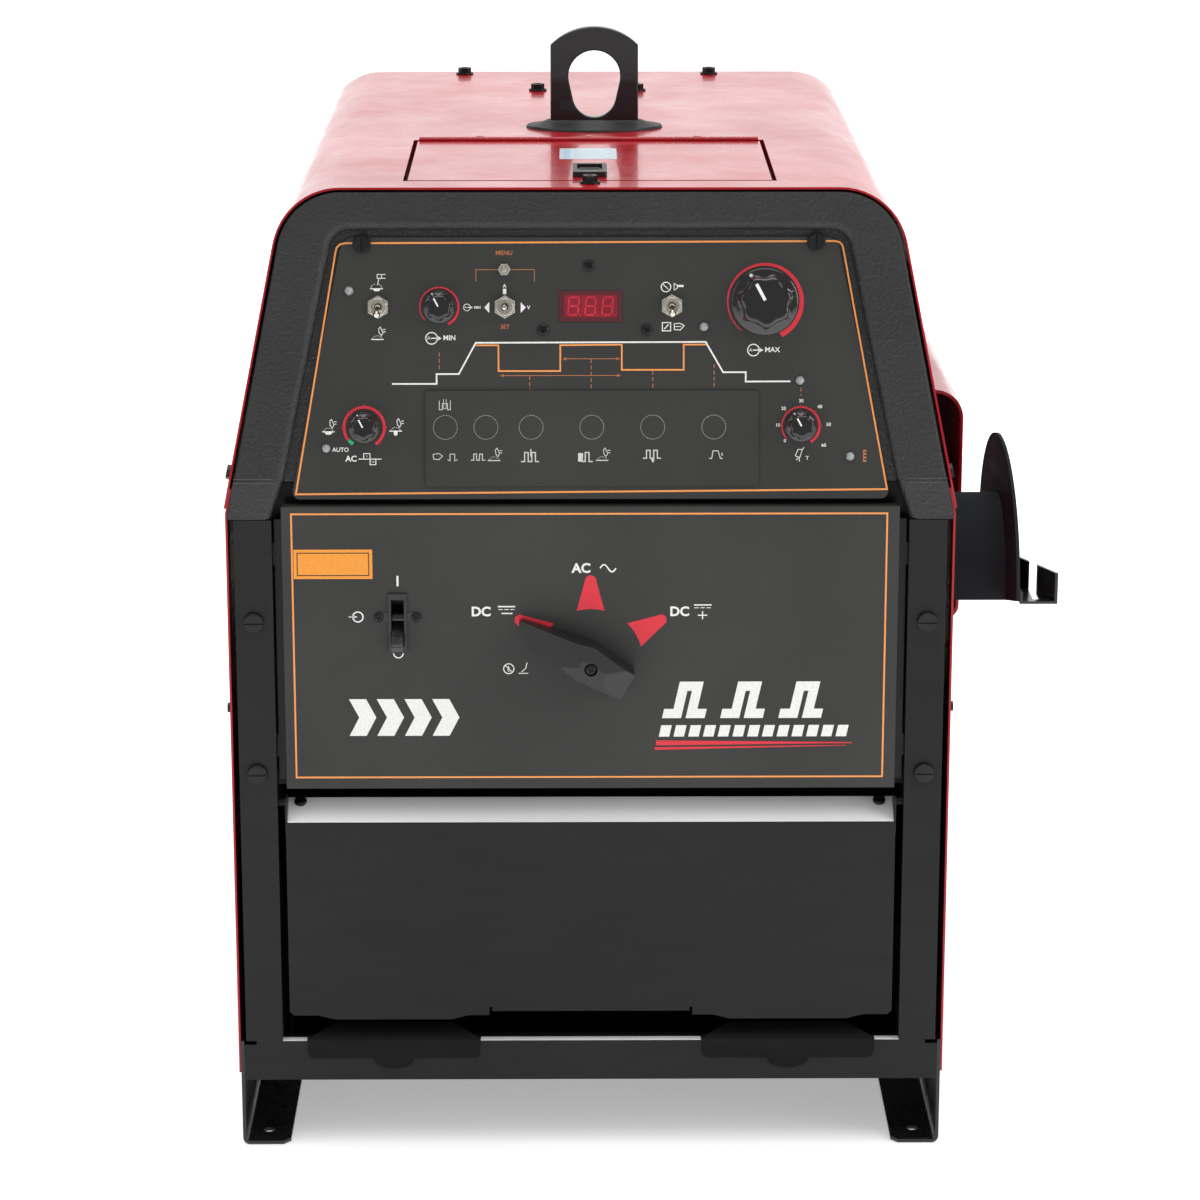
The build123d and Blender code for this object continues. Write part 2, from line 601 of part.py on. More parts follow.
def output_stud(x):
    """Brass output stud on an insulating bush."""
    bush = rod_y(x, STUD_Z, OUTPUT_Y - 8, OUTPUT_Y, 21.0)
    bush += rod_y(x, STUD_Z, OUTPUT_Y, OUTPUT_Y + 12, 12.0)
    stud = rod_y(x, STUD_Z, OUTPUT_Y - 48, OUTPUT_Y + 30, STUD_R)
    hexagon = Pos(x, STUD_Z) * RegularPolygon(12, 6)
    nut = from_front(hexagon, OUTPUT_Y - 16, OUTPUT_Y - 8)
    rear = from_front(hexagon, OUTPUT_Y + 12, OUTPUT_Y + 20)
    return bush + stud + nut + rear


def gas_outlet():
    fitting = rod_y(OUTLET_X, STUD_Z, OUTPUT_Y - 22, OUTPUT_Y + 20, OUTLET_R)
    fitting += from_front(Pos(OUTLET_X, STUD_Z) * RegularPolygon(12, 6), OUTPUT_Y - 8, OUTPUT_Y)
    fitting -= rod_y(OUTLET_X, STUD_Z, OUTPUT_Y - 23, OUTPUT_Y + 21, 4.0)
    return fitting


def remote_receptacle():
    """Round multi-pin socket with a square flange."""
    socket = block((-20, 20), (OUTPUT_Y - 3, OUTPUT_Y), (REMOTE_Z - 20, REMOTE_Z + 20))
    socket += rod_y(0, REMOTE_Z, OUTPUT_Y - 14, OUTPUT_Y + 22, REMOTE_R)
    socket -= rod_y(0, REMOTE_Z, OUTPUT_Y - 15, OUTPUT_Y - 4, REMOTE_R - 3)
    for i in range(6):
        pin = Rot(0, 60 * i, 0) * Pos(8, 0, 0)
        socket += Pos(0, 0, REMOTE_Z) * pin * rod_y(0, 0, OUTPUT_Y - 8, OUTPUT_Y - 3, 1.2)
    return socket


def cable_guard(side=1):
    """Folded rest for a cable: an apron with a rounded tongue and a flap that slopes back."""
    half, top, gauge = 62.0, BASE_TOP, 1.5
    apron = outline((-half, top), (-half, 67), (half, 67), (half, top))
    apron = fillet([v for v in apron.vertices() if v.Y < 68], 4.5)
    tongue = (Pos(0, 67) * Ellipse(15, 8)) & (Pos(0, 57) * Rectangle(40, 20.02))
    guard = from_front(apron + tongue, -gauge, 0)
    flap = outline((-gauge, top - 2), (0, top - 2), (0, top + 0.1), (GUARD_REACH + 0.6, top + 8.2),
                   (GUARD_REACH, top + 9.5), (-gauge, top + 1.2))
    plan = outline((-half, -gauge - 1), (half, -gauge - 1), (half, 0), (half - 21.5, GUARD_REACH + 1),
                   (21.5 - half, GUARD_REACH + 1), (-half, 0))
    guard += from_side(flap, -half, half) & (Pos(0, 0, top - 5) * extrude(plan, amount=20))
    return Pos(side * STUD_X, 0, 0) * guard


# ------------------------------------------------------------------- right side
def hood_section(grow=0.0):
    """Hood outline in (x, z): bulges out from the right wall, rounded on top."""
    out = HOOD_OUT + grow
    wall = HALF_WIDTH
    face = outline((wall, HOOD_BOTTOM - 14 - grow), (out, HOOD_BOTTOM - grow), (out, HOOD_TOP + grow),
                   (wall, HOOD_TOP + 6 + grow))
    face = fillet([v for v in face.vertices() if v.X > wall + 1 and v.Y > 400], 22 + grow)
    return fillet([v for v in face.vertices() if v.X > wall + 1 and v.Y < 400], 10 + grow)


def vent_hood():
    """Air hood over the louvres, open towards the front, closed at the rear."""
    seam = HOOD_FRONT + 100
    hood = from_front(hood_section() - hood_section(-SHEET), seam, HOOD_REAR)
    hood += from_front(hood_section(0.9) - hood_section(-SHEET), HOOD_FRONT, seam)
    hood += from_front(hood_section(), HOOD_REAR - SHEET, HOOD_REAR)
    hood -= from_front(case_section(SHEET + 0.2, 200), HOOD_FRONT - 5, HOOD_REAR + 5)
    foot = block((HALF_WIDTH, HALF_WIDTH + SHEET), (HOOD_REAR, HOOD_REAR + 12), (330, 460))
    hood += foot + block((HALF_WIDTH, HALF_WIDTH + 8), (HOOD_REAR - SHEET, HOOD_REAR), (330, 460))
    return hood


def cable_hanger():
    """Half-drum saddle on the wall with an arched plate at its outer end."""
    inner = HALF_WIDTH
    ring = Circle(HANGER_R) - Circle(HANGER_R - HANGER_T)
    upper = Pos(HANGER_Y, HANGER_Z + 200) * Rectangle(400, 400)
    drum = from_side(upper & (Pos(HANGER_Y, HANGER_Z) * ring), inner, HANGER_X - 1)
    rise = HANGER_APEX - HANGER_BROW
    arch = Pos(HANGER_Y, HANGER_BROW) * Ellipse(HANGER_HALF, rise)
    arch &= Pos(HANGER_Y, HANGER_BROW + 100) * Rectangle(400, 200)
    brow = outline((HANGER_Y - HANGER_HALF, HANGER_BROW), (HANGER_Y - HANGER_R, HANGER_Z),
                   (HANGER_Y + HANGER_R, HANGER_Z), (HANGER_Y + HANGER_HALF, HANGER_BROW))
    bore = Pos(HANGER_Y, HANGER_Z) * Circle(HANGER_R - HANGER_T)
    plate = from_side(arch + brow - bore, HANGER_X - HANGER_T, HANGER_X)
    web = upper & Pos(HANGER_Y, HANGER_Z) * (Circle(HANGER_R + 16) - Circle(HANGER_R - HANGER_T))
    return drum + plate + from_side(web, inner, inner + 2)


def torch_rest():
    """Slanting fence with a slot, on a three-cornered shelf beside the hanger."""
    near, far = 64.0, 117.0
    x0, x1 = HANGER_X, REST_OUT
    shelf = outline((x0, near), (x1, near), (x0 + 2, far), (x0, far))
    rest = Pos(0, 0, HANGER_BROW - 2) * extrude(shelf, amount=2)
    fence = outline((x1 - 2.2, near), (x1, near), (x0 + 2, far), (x0, far))
    rest += Pos(0, 0, HANGER_BROW - 2) * extrude(fence, amount=23)
    rest += block((x0, x0 + 2), (near, far), (HANGER_BROW - 2, HANGER_BROW + 6))
    slot = block((x0 + 10, x0 + 14.6), (near + 6, far + 1), (HANGER_BROW - 3, HANGER_BROW + 30))
    return rest - slot


# ------------------------------------------------------------------------- top
def storage_tray():
    """Open box under the lid for torch parts."""
    half = LID_HALF + LID_GAP - 0.5
    front, rear = LID_FRONT - LID_GAP + 0.5, HINGE_Y + HINGE_RELIEF - 0.5
    low, high = 604.0, TOP_Z - 12.0
    tray = block((-half - 6, half + 6), (front - 2.2, rear + 6), (high - SHEET, high))
    tray += block((-half, half), (front, rear), (low, high))
    t = 1.2
    return tray - block((-half + t, half - t), (front + t, rear - t), (low + t, high + 1))


def hinge_knuckles(first, toward):
    """Every second knuckle of the piano hinge, each with a tongue to its leaf."""
    start = -KNUCKLE * KNUCKLES / 2
    pieces = []
    for i in range(first, KNUCKLES, 2):
        span = (start + i * KNUCKLE + 0.15, start + (i + 1) * KNUCKLE - 0.15)
        tongue = sorted((HINGE_Y, HINGE_Y + toward * (HINGE_R + 1.2)))
        pieces.append(rod_x(HINGE_Y, HINGE_Z, *span, HINGE_R))
        pieces.append(block(span, tongue, (TOP_Z - SHEET, TOP_Z - SHEET + 1.0)))
    return pieces


def hinge_leaf():
    """Fixed half of the piano hinge with its pin and rivets."""
    half = KNUCKLE * KNUCKLES / 2
    leaf = block((-half, half), (HINGE_Y + 3, HINGE_Y + 17), (TOP_Z, TOP_Z + 1.0))
    leaf += block((-half, half), (HINGE_Y + 3, HINGE_Y + 3.6), (TOP_Z - SHEET, TOP_Z + 1.0))
    leaf += rod_x(HINGE_Y, HINGE_Z, -half, half, HINGE_PIN_R)
    for piece in hinge_knuckles(1, 1):
        leaf += piece
    for x in (-81, 0, 81):
        leaf += rod_z(x, HINGE_Y + 10, TOP_Z, TOP_Z + 2.2, 2.6)
    return leaf


def storage_lid():
    """Lid with its half of the piano hinge and a slot for the latch."""
    lid = block((-LID_HALF, LID_HALF), (LID_FRONT, HINGE_Y - 3.4), (TOP_Z - SHEET, TOP_Z))
    lid += block((-LID_HALF + 6, LID_HALF - 6), (LID_FRONT, LID_FRONT + 1.2), (TOP_Z - 9, TOP_Z - SHEET))
    lid -= block((-9, 9), (LID_FRONT - 1, LID_FRONT + 3), (TOP_Z - 10, TOP_Z - SHEET))
    lid -= block((-5, 5), (LATCH_Y + 11, LATCH_Y + 34), (TOP_Z - 5, TOP_Z + 1))
    for piece in hinge_knuckles(0, -1):
        lid += piece
    return lid - rod_x(HINGE_Y, HINGE_Z, -300, 300, HINGE_PIN_R + RUN)


def latch_plate():
    """Surface latch body with a finger recess."""
    plate = block((-12, 12), (LATCH_Y, LATCH_Y + 41), (TOP_Z, TOP_Z + 4))
    plate = fillet(plate.edges().filter_by(Axis.Z), 2.0)
    return plate - block((-8.8, 8.8), (LATCH_Y + 9, LATCH_Y + 37), (TOP_Z - 1, TOP_Z + 5))


def latch_slider():
    """Thumb slide with a stem through the lid and a tongue below it."""
    slider = block((-8.4, 8.4), (LATCH_Y + 9.4, LATCH_Y + 27), (TOP_Z + 0.4, TOP_Z + 2.4))
    for i in range(4):
        y = LATCH_Y + 12 + 3.6 * i
        slider += block((-7, 7), (y, y + 1.4), (TOP_Z + 2.4, TOP_Z + 3.4))
    slider += block((-4.4, 4.4), (LATCH_Y + 12, LATCH_Y + 26), (TOP_Z - 4, TOP_Z + 1))
    slider += block((-8, 8), (LID_FRONT - 2.2, LATCH_Y + 26), (TOP_Z - 5, TOP_Z - 2.5))
    return slider


def lift_bail():
    """Lifting plate with an egg-shaped eye, bolted down to the transformer."""
    rise = BAIL_APEX - BAIL_SHOULDER
    arc = (BAIL_HALF ** 2 + rise ** 2) / (2 * rise)
    foot = CORE_TOP
    plate = Pos(0, (foot + BAIL_APEX) / 2) * Rectangle(2 * BAIL_HALF, BAIL_APEX - foot)
    crown = Pos(0, BAIL_APEX - arc) * Circle(arc)
    plate &= crown + Pos(0, (foot + BAIL_SHOULDER) / 2 - 30) * Rectangle(200, BAIL_SHOULDER - foot + 60)
    plate = fillet([v for v in plate.vertices() if v.Y > BAIL_SHOULDER - 5], 1.5)
    (high, large), (low, small) = BAIL_EYE
    eye = make_hull((Pos(0, high) * Circle(large) + Pos(0, low) * Circle(small)).edges())
    bail = Pos(BAIL_X, 0, 0) * from_front(plate - eye, BAIL_Y - BAIL_T / 2, BAIL_Y + BAIL_T / 2)
    edges = [e for e in bail.edges().group_by(Axis.Y)[0] + bail.edges().group_by(Axis.Y)[-1]
             if e.center().Z > TOP_Z + 10]
    bail = chamfer(edges, 0.8)
    foot_plate = block((BAIL_X - 50, BAIL_X + 50), (BAIL_Y - 30, BAIL_Y + 30), (foot, foot + 8))
    return bail + foot_plate


def bail_skirt():
    """Flared rubber boot around the lifting plate."""
    low = Plane.XY.offset(TOP_Z) * Ellipse(52, 31.5)
    rim = Plane.XY.offset(TOP_Z + 1.6) * Ellipse(51.5, 31)
    high = Plane.XY.offset(TOP_Z + 6.5) * Ellipse(40, 9)
    boot = loft([low, rim]) + loft([rim, high])
    boot = Pos(BAIL_X, BAIL_Y + 5, 0) * boot
    return boot - block((BAIL_X - BAIL_HALF, BAIL_X + BAIL_HALF),
                        (BAIL_Y - BAIL_T / 2, BAIL_Y + BAIL_T / 2), (TOP_Z - 1, TOP_Z + 20))


def hex_screw():
    """Washer-head screw standing on z = 0."""
    head = Pos(0, 0, 0.7) * Cylinder(7.2, 1.4) + extrude(RegularPolygon(5.4, 6), amount=5.6)
    return head - Pos(0, 0, 5.6) * Cylinder(2.6, 1.6)


def slotted_screw():
    head = Pos(0, 0, 1.6) * Cylinder(7.2, 3.2)
    head = fillet(head.edges().group_by(Axis.Z)[-1], 1.2)
    return head - Pos(0, 0, 3.2) * Box(20, 1.6, 2.0)


def case_screws():
    """Case screws on the roof, the flanks and the posts, and the panel's studs."""
    screws = [Pos(x, y, TOP_Z) * hex_screw() for x, y in TOP_SCREWS]
    flank = degrees(atan(LEAN))
    skin = HALF_WIDTH + SHEET - LEAN * (SIDE_SCREW_Z - SHOULDER_Z)
    for side in (-1, 1):
        turn = Rot(0, side * (90 - flank), 0)
        screws.append(Pos(side * skin, SIDE_SCREW_Y, SIDE_SCREW_Z) * turn * hex_screw())
        low_y, low_z = LOW_SCREW
        low = rod_x(low_y, low_z, HALF_WIDTH, HALF_WIDTH + 3, 3.5)
        screws.append(low if side > 0 else mirrored(low))
        for z in POST_SCREWS:
            screws.append(Pos(side * POST_SCREW_X, 0, z) * Rot(90, 0, 0) * slotted_screw())
    for x, z in QUARTER_TURNS:
        stud = Pos(0, 0, 1.5) * Cylinder(6.35, 3.0)
        stud = fillet(stud.edges().group_by(Axis.Z)[-1], 1.0)
        screws.append(on_panel(x, z) * (stud - Pos(0, 0, 3) * Box(1.4, 10.0, 2.4)))
    return Compound(screws)


# ---------------------------------------------------------------------- inside
def transformer_core():
    core = block((-110, 110), (270, 372), (BASE_BOTTOM + 2, CORE_TOP))
    for side in (-1, 1):
        core -= block(sorted((side * 28, side * 82)), (260, 380), (98, 288))
    return core


def transformer_coils():
    coils = block((-80, 80), (238, 404), (102, 284))
    coils = fillet(coils.edges().filter_by(Axis.Z), 24)
    return coils - block((-28.5, 28.5), (269.5, 372.5), (90, 300))


def output_choke():
    choke = block((-200, -90), (160, 232), (BASE_BOTTOM + 2, 190))
    return choke - block((-180, -110), (150, 240), (95, 150)) + block((-180, -110), (154, 236), (97, 148))


def rectifier():
    """Finned heat sink with a row of diodes."""
    sink = block((60, 68), (140, 236), (BASE_BOTTOM + 2, 240))
    for i in range(10):
        y = 142 + i * 10
        sink += block((68, 110), (y, y + 3), (BASE_BOTTOM + 2, 240))
    for z in (90, 150, 210):
        sink += rod_x(188, z, 44, 60, 14)
    return sink


def control_board():
    """Circuit board on stand-offs with its larger components."""
    board = block((-140, 140), (118, 120), (470, 590))
    for x in (-130, 130):
        for z in (480, 580):
            board += rod_y(x, z, OUTPUT_Y + 2, 118, 4)
    for x in (-100, -60, 20, 60):
        board += rod_y(x, 560, 120, 150, 10)
    board += block((-20, 30), (120, 138), (490, 530))
    board += block((70, 120), (120, 132), (484, 510))
    return board


def fan_shroud():
    """Venturi plate on the base with the motor on three arms."""
    plate = block((-190, 190), (FAN_Y + 20, FAN_Y + 22), (BASE_BOTTOM + 2, 440))
    ring = rod_y(0, FAN_Z, FAN_Y + 2, FAN_Y + 22, FAN_R + 6)
    plate = plate + ring - rod_y(0, FAN_Z, FAN_Y, FAN_Y + 23, FAN_R + 3)
    motor = rod_y(0, FAN_Z, FAN_Y - 78, FAN_Y - 20, 42)
    for turn in (90, 210, 330):
        reach = Pos(0, 0, FAN_Z) * Rot(0, turn, 0)
        plate += reach * block((30, 132), (FAN_Y - 34, FAN_Y - 30), (-8, 8))
        plate += reach * block((126, 132), (FAN_Y - 34, FAN_Y + 22), (-8, 8))
    return plate + motor - rod_y(0, FAN_Z, FAN_Y - 70, FAN_Y, 4 + RUN)


def fan_blades():
    fan = rod_y(0, FAN_Z, FAN_Y - 12, FAN_Y + 14, 26)
    fan += rod_y(0, FAN_Z, FAN_Y - 60, FAN_Y, 4)
    for i in range(5):
        blade = Pos(66, 0, 0) * Rot(32, 0, 0) * Box(88, 2.0, 44)
        blade = Rot(0, 72 * i, 0) * blade
        fan += Pos(0, FAN_Y + 1, FAN_Z) * blade
    return fan & rod_y(0, FAN_Z, FAN_Y - 80, FAN_Y + 40, FAN_R)


# ------------------------------------------------------------------------ rear
def gas_inlet():
    """Threaded gas fitting with a hexagon and a plain spigot."""
    fitting = rod_y(GAS_X, GAS_Z, CASE_DEPTH - 20, CASE_DEPTH, 10.0)
    hexagon = Pos(GAS_X, GAS_Z) * RegularPolygon(13, 6)
    fitting += from_front(hexagon, CASE_DEPTH, CASE_DEPTH + 8)
    fitting += rod_y(GAS_X, GAS_Z, CASE_DEPTH + 8, CASE_DEPTH + 24, GAS_R)
    return fitting - rod_y(GAS_X, GAS_Z, CASE_DEPTH - 21, CASE_DEPTH + 25, 3.2)


def cord_gland():
    """Screw-in gland for a supply cord: hexagon, threaded sleeve and clear bore."""
    x, z = GLAND
    sleeve = rod_y(x, z, CASE_DEPTH - 12, CASE_DEPTH, 20.0)
    sleeve += from_front(Pos(x, z) * RegularPolygon(27, 6), CASE_DEPTH, CASE_DEPTH + 9)
    sleeve += rod_y(x, z, CASE_DEPTH + 9, CASE_DEPTH + 20, 21.0)
    return sleeve - rod_y(x, z, CASE_DEPTH - 13, CASE_DEPTH + 21, GLAND_R)


def duplex_receptacle():
    """Twin mains socket for a water cooler, in a steel cover plate."""
    middle, level = DUPLEX
    body = block((middle - 31, middle + 31), (CASE_DEPTH - 34, CASE_DEPTH), (level - 37, level + 37))
    body += block((middle - 36, middle + 36), (CASE_DEPTH, CASE_DEPTH + 1.2), (level - 44, level + 44))
    cut = (CASE_DEPTH - 8, CASE_DEPTH + 4)
    for z in (level - 18, level + 18):
        face = Pos(middle, z) * Circle(16.5) & Pos(middle, z) * Rectangle(33, 26)
        body += from_front(face, CASE_DEPTH, CASE_DEPTH + 3)
        for x, tall in ((middle - 6.3, 7.0), (middle + 6.3, 9.0)):
            body -= block((x - 1, x + 1), cut, (z + 2 - tall / 2, z + 2 + tall / 2))
        body -= rod_y(middle, z - 7, *cut, 2.4)
    return body


def breaker_bushes():
    bushes = []
    for z in BREAKERS.values():
        bush = rod_y(BREAKER_X, z, CASE_DEPTH, CASE_DEPTH + 3, 12.0)
        bush += rod_y(BREAKER_X, z, CASE_DEPTH - 6, CASE_DEPTH, 9.0)
        bush += block((BREAKER_X - 11, BREAKER_X + 11), (CASE_DEPTH - 30, CASE_DEPTH - 6), (z - 12, z + 12))
        bush -= rod_y(BREAKER_X, z, CASE_DEPTH - 12, CASE_DEPTH + 4, 4.5 + RUN)
        bushes.append(bush)
    return Compound(bushes)


def breaker_button(z):
    button = rod_y(BREAKER_X, z, CASE_DEPTH - 8, CASE_DEPTH + 7, 4.5)
    return chamfer(button.edges().group_by(Axis.Y)[-1], 0.6)


def build_all():
    right_skid, guard = skid(), cable_guard(1)
    parts = {
        "skid_right": right_skid, "skid_left": mirrored(right_skid), "base_pan": base_pan(),
        "front_frame": front_frame(), "side_panel_right": side_panel_right(),
        "side_panel_left": side_panel_left(), "roof": roof(), "rear_panel": rear_panel(),
        "bezel": bezel(), "control_panel": control_panel(), "option_cover": option_cover(),
        "display_module": display_module(), "panel_pots": panel_pots(),
        "switch_bushes": switch_bushes(), "menu_button": menu_button(), "panel_leds": panel_leds(),
        "lower_panel": lower_panel(), "polarity_handle": polarity_handle(),
        "polarity_switch": polarity_switch(), "power_switch": power_switch(),
        "power_lever": power_lever(), "output_door": output_door(), "output_panel": output_panel(),
        "work_stud": output_stud(-STUD_X), "electrode_stud": output_stud(STUD_X),
        "gas_outlet": gas_outlet(), "remote_receptacle": remote_receptacle(),
        "cable_guard_right": guard, "cable_guard_left": mirrored(guard), "vent_hood": vent_hood(),
        "cable_hanger": cable_hanger(), "torch_rest": torch_rest(), "storage_tray": storage_tray(),
        "hinge_leaf": hinge_leaf(), "storage_lid": storage_lid(), "latch_plate": latch_plate(),
        "latch_slider": latch_slider(), "lift_bail": lift_bail(), "bail_skirt": bail_skirt(),
        "case_screws": case_screws(), "transformer_core": transformer_core(),
        "transformer_coils": transformer_coils(), "output_choke": output_choke(),
        "rectifier": rectifier(), "control_board": control_board(), "fan_shroud": fan_shroud(),
        "fan_blades": fan_blades(), "gas_inlet": gas_inlet(), "cord_gland": cord_gland(),
        "duplex_receptacle": duplex_receptacle(), "breaker_bushes": breaker_bushes(),
    }
    for name, sizes in KNOBS.items():
        parts[name] = knob(*sizes)
    for name, place in TOGGLES.items():
        parts[name] = toggle_lever(*place)
    for name, z in BREAKERS.items():
        parts[name] = breaker_button(z)
    return parts


for name, shape in build_all().items():
    export(name, shape)
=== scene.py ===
import json
import math

import bmesh
import bpy
from mathutils import Matrix, Vector


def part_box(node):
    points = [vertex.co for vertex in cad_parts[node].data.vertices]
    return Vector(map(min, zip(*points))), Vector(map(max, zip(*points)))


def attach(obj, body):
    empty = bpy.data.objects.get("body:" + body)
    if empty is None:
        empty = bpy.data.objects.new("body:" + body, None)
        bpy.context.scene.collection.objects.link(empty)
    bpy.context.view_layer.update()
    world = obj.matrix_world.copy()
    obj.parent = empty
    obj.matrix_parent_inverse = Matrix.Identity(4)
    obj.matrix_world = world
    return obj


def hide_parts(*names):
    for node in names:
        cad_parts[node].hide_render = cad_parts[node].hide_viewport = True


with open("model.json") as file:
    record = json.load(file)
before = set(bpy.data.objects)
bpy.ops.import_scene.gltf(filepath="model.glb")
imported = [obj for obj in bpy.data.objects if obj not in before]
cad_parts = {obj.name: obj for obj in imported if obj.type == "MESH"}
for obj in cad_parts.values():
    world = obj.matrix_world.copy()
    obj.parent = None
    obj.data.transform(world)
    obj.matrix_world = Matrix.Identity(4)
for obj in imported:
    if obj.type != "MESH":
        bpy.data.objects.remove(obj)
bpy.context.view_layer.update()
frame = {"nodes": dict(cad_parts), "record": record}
nodes = frame["nodes"]

MM = 0.001


# ------------------------------------------------------------------ materials
def shader(name, colour, rough=0.5, metal=0.0, coat=0.0, coat_rough=0.05, gleam=0.5):
    """A new material with its own nodes. Returns the material, its tree and its shader."""
    mat = bpy.data.materials.new(name)
    mat.use_nodes = True
    tree = mat.node_tree
    bsdf = tree.nodes["Principled BSDF"]
    bsdf.inputs["Base Color"].default_value = (*colour, 1)
    bsdf.inputs["Roughness"].default_value = rough
    bsdf.inputs["Metallic"].default_value = metal
    bsdf.inputs["Coat Weight"].default_value = coat
    bsdf.inputs["Coat Roughness"].default_value = coat_rough
    bsdf.inputs["Specular IOR Level"].default_value = gleam
    return mat, tree, bsdf


def place(tree, stretch=(1, 1, 1)):
    """Object coordinates, stretched along an axis where the pattern has a grain."""
    coords = tree.nodes.new("ShaderNodeTexCoord")
    mapping = tree.nodes.new("ShaderNodeMapping")
    mapping.inputs["Scale"].default_value = stretch
    tree.links.new(coords.outputs["Object"], mapping.inputs["Vector"])
    return mapping.outputs["Vector"]


def noise(tree, vector, scale, detail=3.0, rough=0.5):
    """Cloudy pattern between 0 and 1."""
    node = tree.nodes.new("ShaderNodeTexNoise")
    node.inputs["Scale"].default_value = scale
    node.inputs["Detail"].default_value = detail
    node.inputs["Roughness"].default_value = rough
    tree.links.new(vector, node.inputs["Vector"])
    return node.outputs["Fac"]


def cells(tree, vector, scale):
    """Rounded pebbles: the smoothed distance to the nearest cell's centre."""
    node = tree.nodes.new("ShaderNodeTexVoronoi")
    node.feature = "SMOOTH_F1"
    node.inputs["Scale"].default_value = scale
    tree.links.new(vector, node.inputs["Vector"])
    return node.outputs["Distance"]


def ramp(tree, factor, low, high, a=0.3, b=0.7):
    """Colour between low and high as the factor goes from a to b."""
    node = tree.nodes.new("ShaderNodeValToRGB")
    node.color_ramp.elements[0].position = a
    node.color_ramp.elements[1].position = b
    node.color_ramp.elements[0].color = (*low, 1)
    node.color_ramp.elements[1].color = (*high, 1)
    tree.links.new(factor, node.inputs["Fac"])
    return node.outputs["Color"]


def span(tree, factor, low, high, a=0.0, b=1.0):
    """Number between low and high as the factor goes from a to b."""
    node = tree.nodes.new("ShaderNodeMapRange")
    node.inputs["From Min"].default_value = a
    node.inputs["From Max"].default_value = b
    node.inputs["To Min"].default_value = low
    node.inputs["To Max"].default_value = high
    tree.links.new(factor, node.inputs["Value"])
    return node.outputs["Result"]


EDGE = 0.0006                       # softened edge radius, m


def bump(tree, bsdf, height, distance, strength=1.0, edge=EDGE):
    """Surface relief over softly rounded edges."""
    node = tree.nodes.new("ShaderNodeBump")
    if edge:
        rounded = tree.nodes.new("ShaderNodeBevel")
        rounded.samples = 4
        rounded.inputs["Radius"].default_value = edge
        tree.links.new(rounded.outputs["Normal"], node.inputs["Normal"])
    node.inputs["Distance"].default_value = distance
    node.inputs["Strength"].default_value = strength
    tree.links.new(height, node.inputs["Height"])
    tree.links.new(node.outputs["Normal"], bsdf.inputs["Normal"])


def scaled(colour, k):
    """The colour k times as bright, at most white."""
    return tuple(min(1.0, c * k) for c in colour)


def paint(name, colour, rough, coat, peel=0.00012, peel_scale=260, speck=0.12, gleam=0.5):
    """Powder coat: slow colour drift, orange peel, faint handling marks in the gloss."""
    mat, tree, bsdf = shader(name, colour, rough, coat=coat, coat_rough=0.06, gleam=gleam)
    where = place(tree)
    drift = noise(tree, where, 5.0, 4.0)
    tree.links.new(ramp(tree, drift, scaled(colour, 1 - speck), scaled(colour, 1 + speck)),
                   bsdf.inputs["Base Color"])
    marks = noise(tree, place(tree, (1, 1, 6)), 14.0, 6.0, 0.65)
    tree.links.new(span(tree, marks, rough * 0.75, rough * 1.3, 0.3, 0.75), bsdf.inputs["Roughness"])
    bump(tree, bsdf, noise(tree, where, peel_scale, 1.5), peel)
    return mat


def grained(name, colour, rough, scale, depth, coat=0.0, spread=0.25, gleam=0.5, edge=EDGE):
    """Moulded plastic or textured paint with a pebbled grain."""
    mat, tree, bsdf = shader(name, colour, rough, coat=coat, gleam=gleam)
    where = place(tree)
    pebble = cells(tree, where, scale)
    fine = noise(tree, where, scale * 1.7, 3.0, 0.6)
    mix = tree.nodes.new("ShaderNodeMath")
    mix.operation = "ADD"
    tree.links.new(pebble, mix.inputs[0])
    tree.links.new(fine, mix.inputs[1])
    tone = noise(tree, where, 9.0, 4.0)
    tree.links.new(ramp(tree, tone, scaled(colour, 1 - spread), scaled(colour, 1 + spread)),
                   bsdf.inputs["Base Color"])
    sheen = span(tree, fine, rough * 0.85, min(1.0, rough * 1.15), 0.3, 0.7)
    tree.links.new(sheen, bsdf.inputs["Roughness"])
    bump(tree, bsdf, mix.outputs[0], depth, edge=edge)
    return mat


def gloss(name, colour, rough, coat=0.6):
    """Polished moulding with faint smears and a slight waviness."""
    mat, tree, bsdf = shader(name, colour, rough, coat=coat, coat_rough=0.04)
    where = place(tree)
    smear = noise(tree, where, 60.0, 5.0, 0.7)
    tree.links.new(span(tree, smear, rough * 0.7, rough * 1.6, 0.35, 0.7), bsdf.inputs["Roughness"])
    tree.links.new(ramp(tree, smear, scaled(colour, 0.85), scaled(colour, 1.2)), bsdf.inputs["Base Color"])
    bump(tree, bsdf, noise(tree, where, 180.0, 1.0), 0.00004)
    return mat


def plated(name, colour, rough, brushed=(1, 1, 1), scale=500, depth=0.00002):
    """Bare or plated metal with fine tool marks and clouding."""
    mat, tree, bsdf = shader(name, colour, rough, metal=1.0)
    lines = noise(tree, place(tree, brushed), scale, 4.0, 0.6)
    cloud = noise(tree, place(tree), 35.0, 4.0)
    tree.links.new(span(tree, cloud, rough * 0.7, rough * 1.5, 0.3, 0.7), bsdf.inputs["Roughness"])
    tree.links.new(ramp(tree, lines, scaled(colour, 0.82), colour), bsdf.inputs["Base Color"])
    bump(tree, bsdf, lines, depth)
    return mat


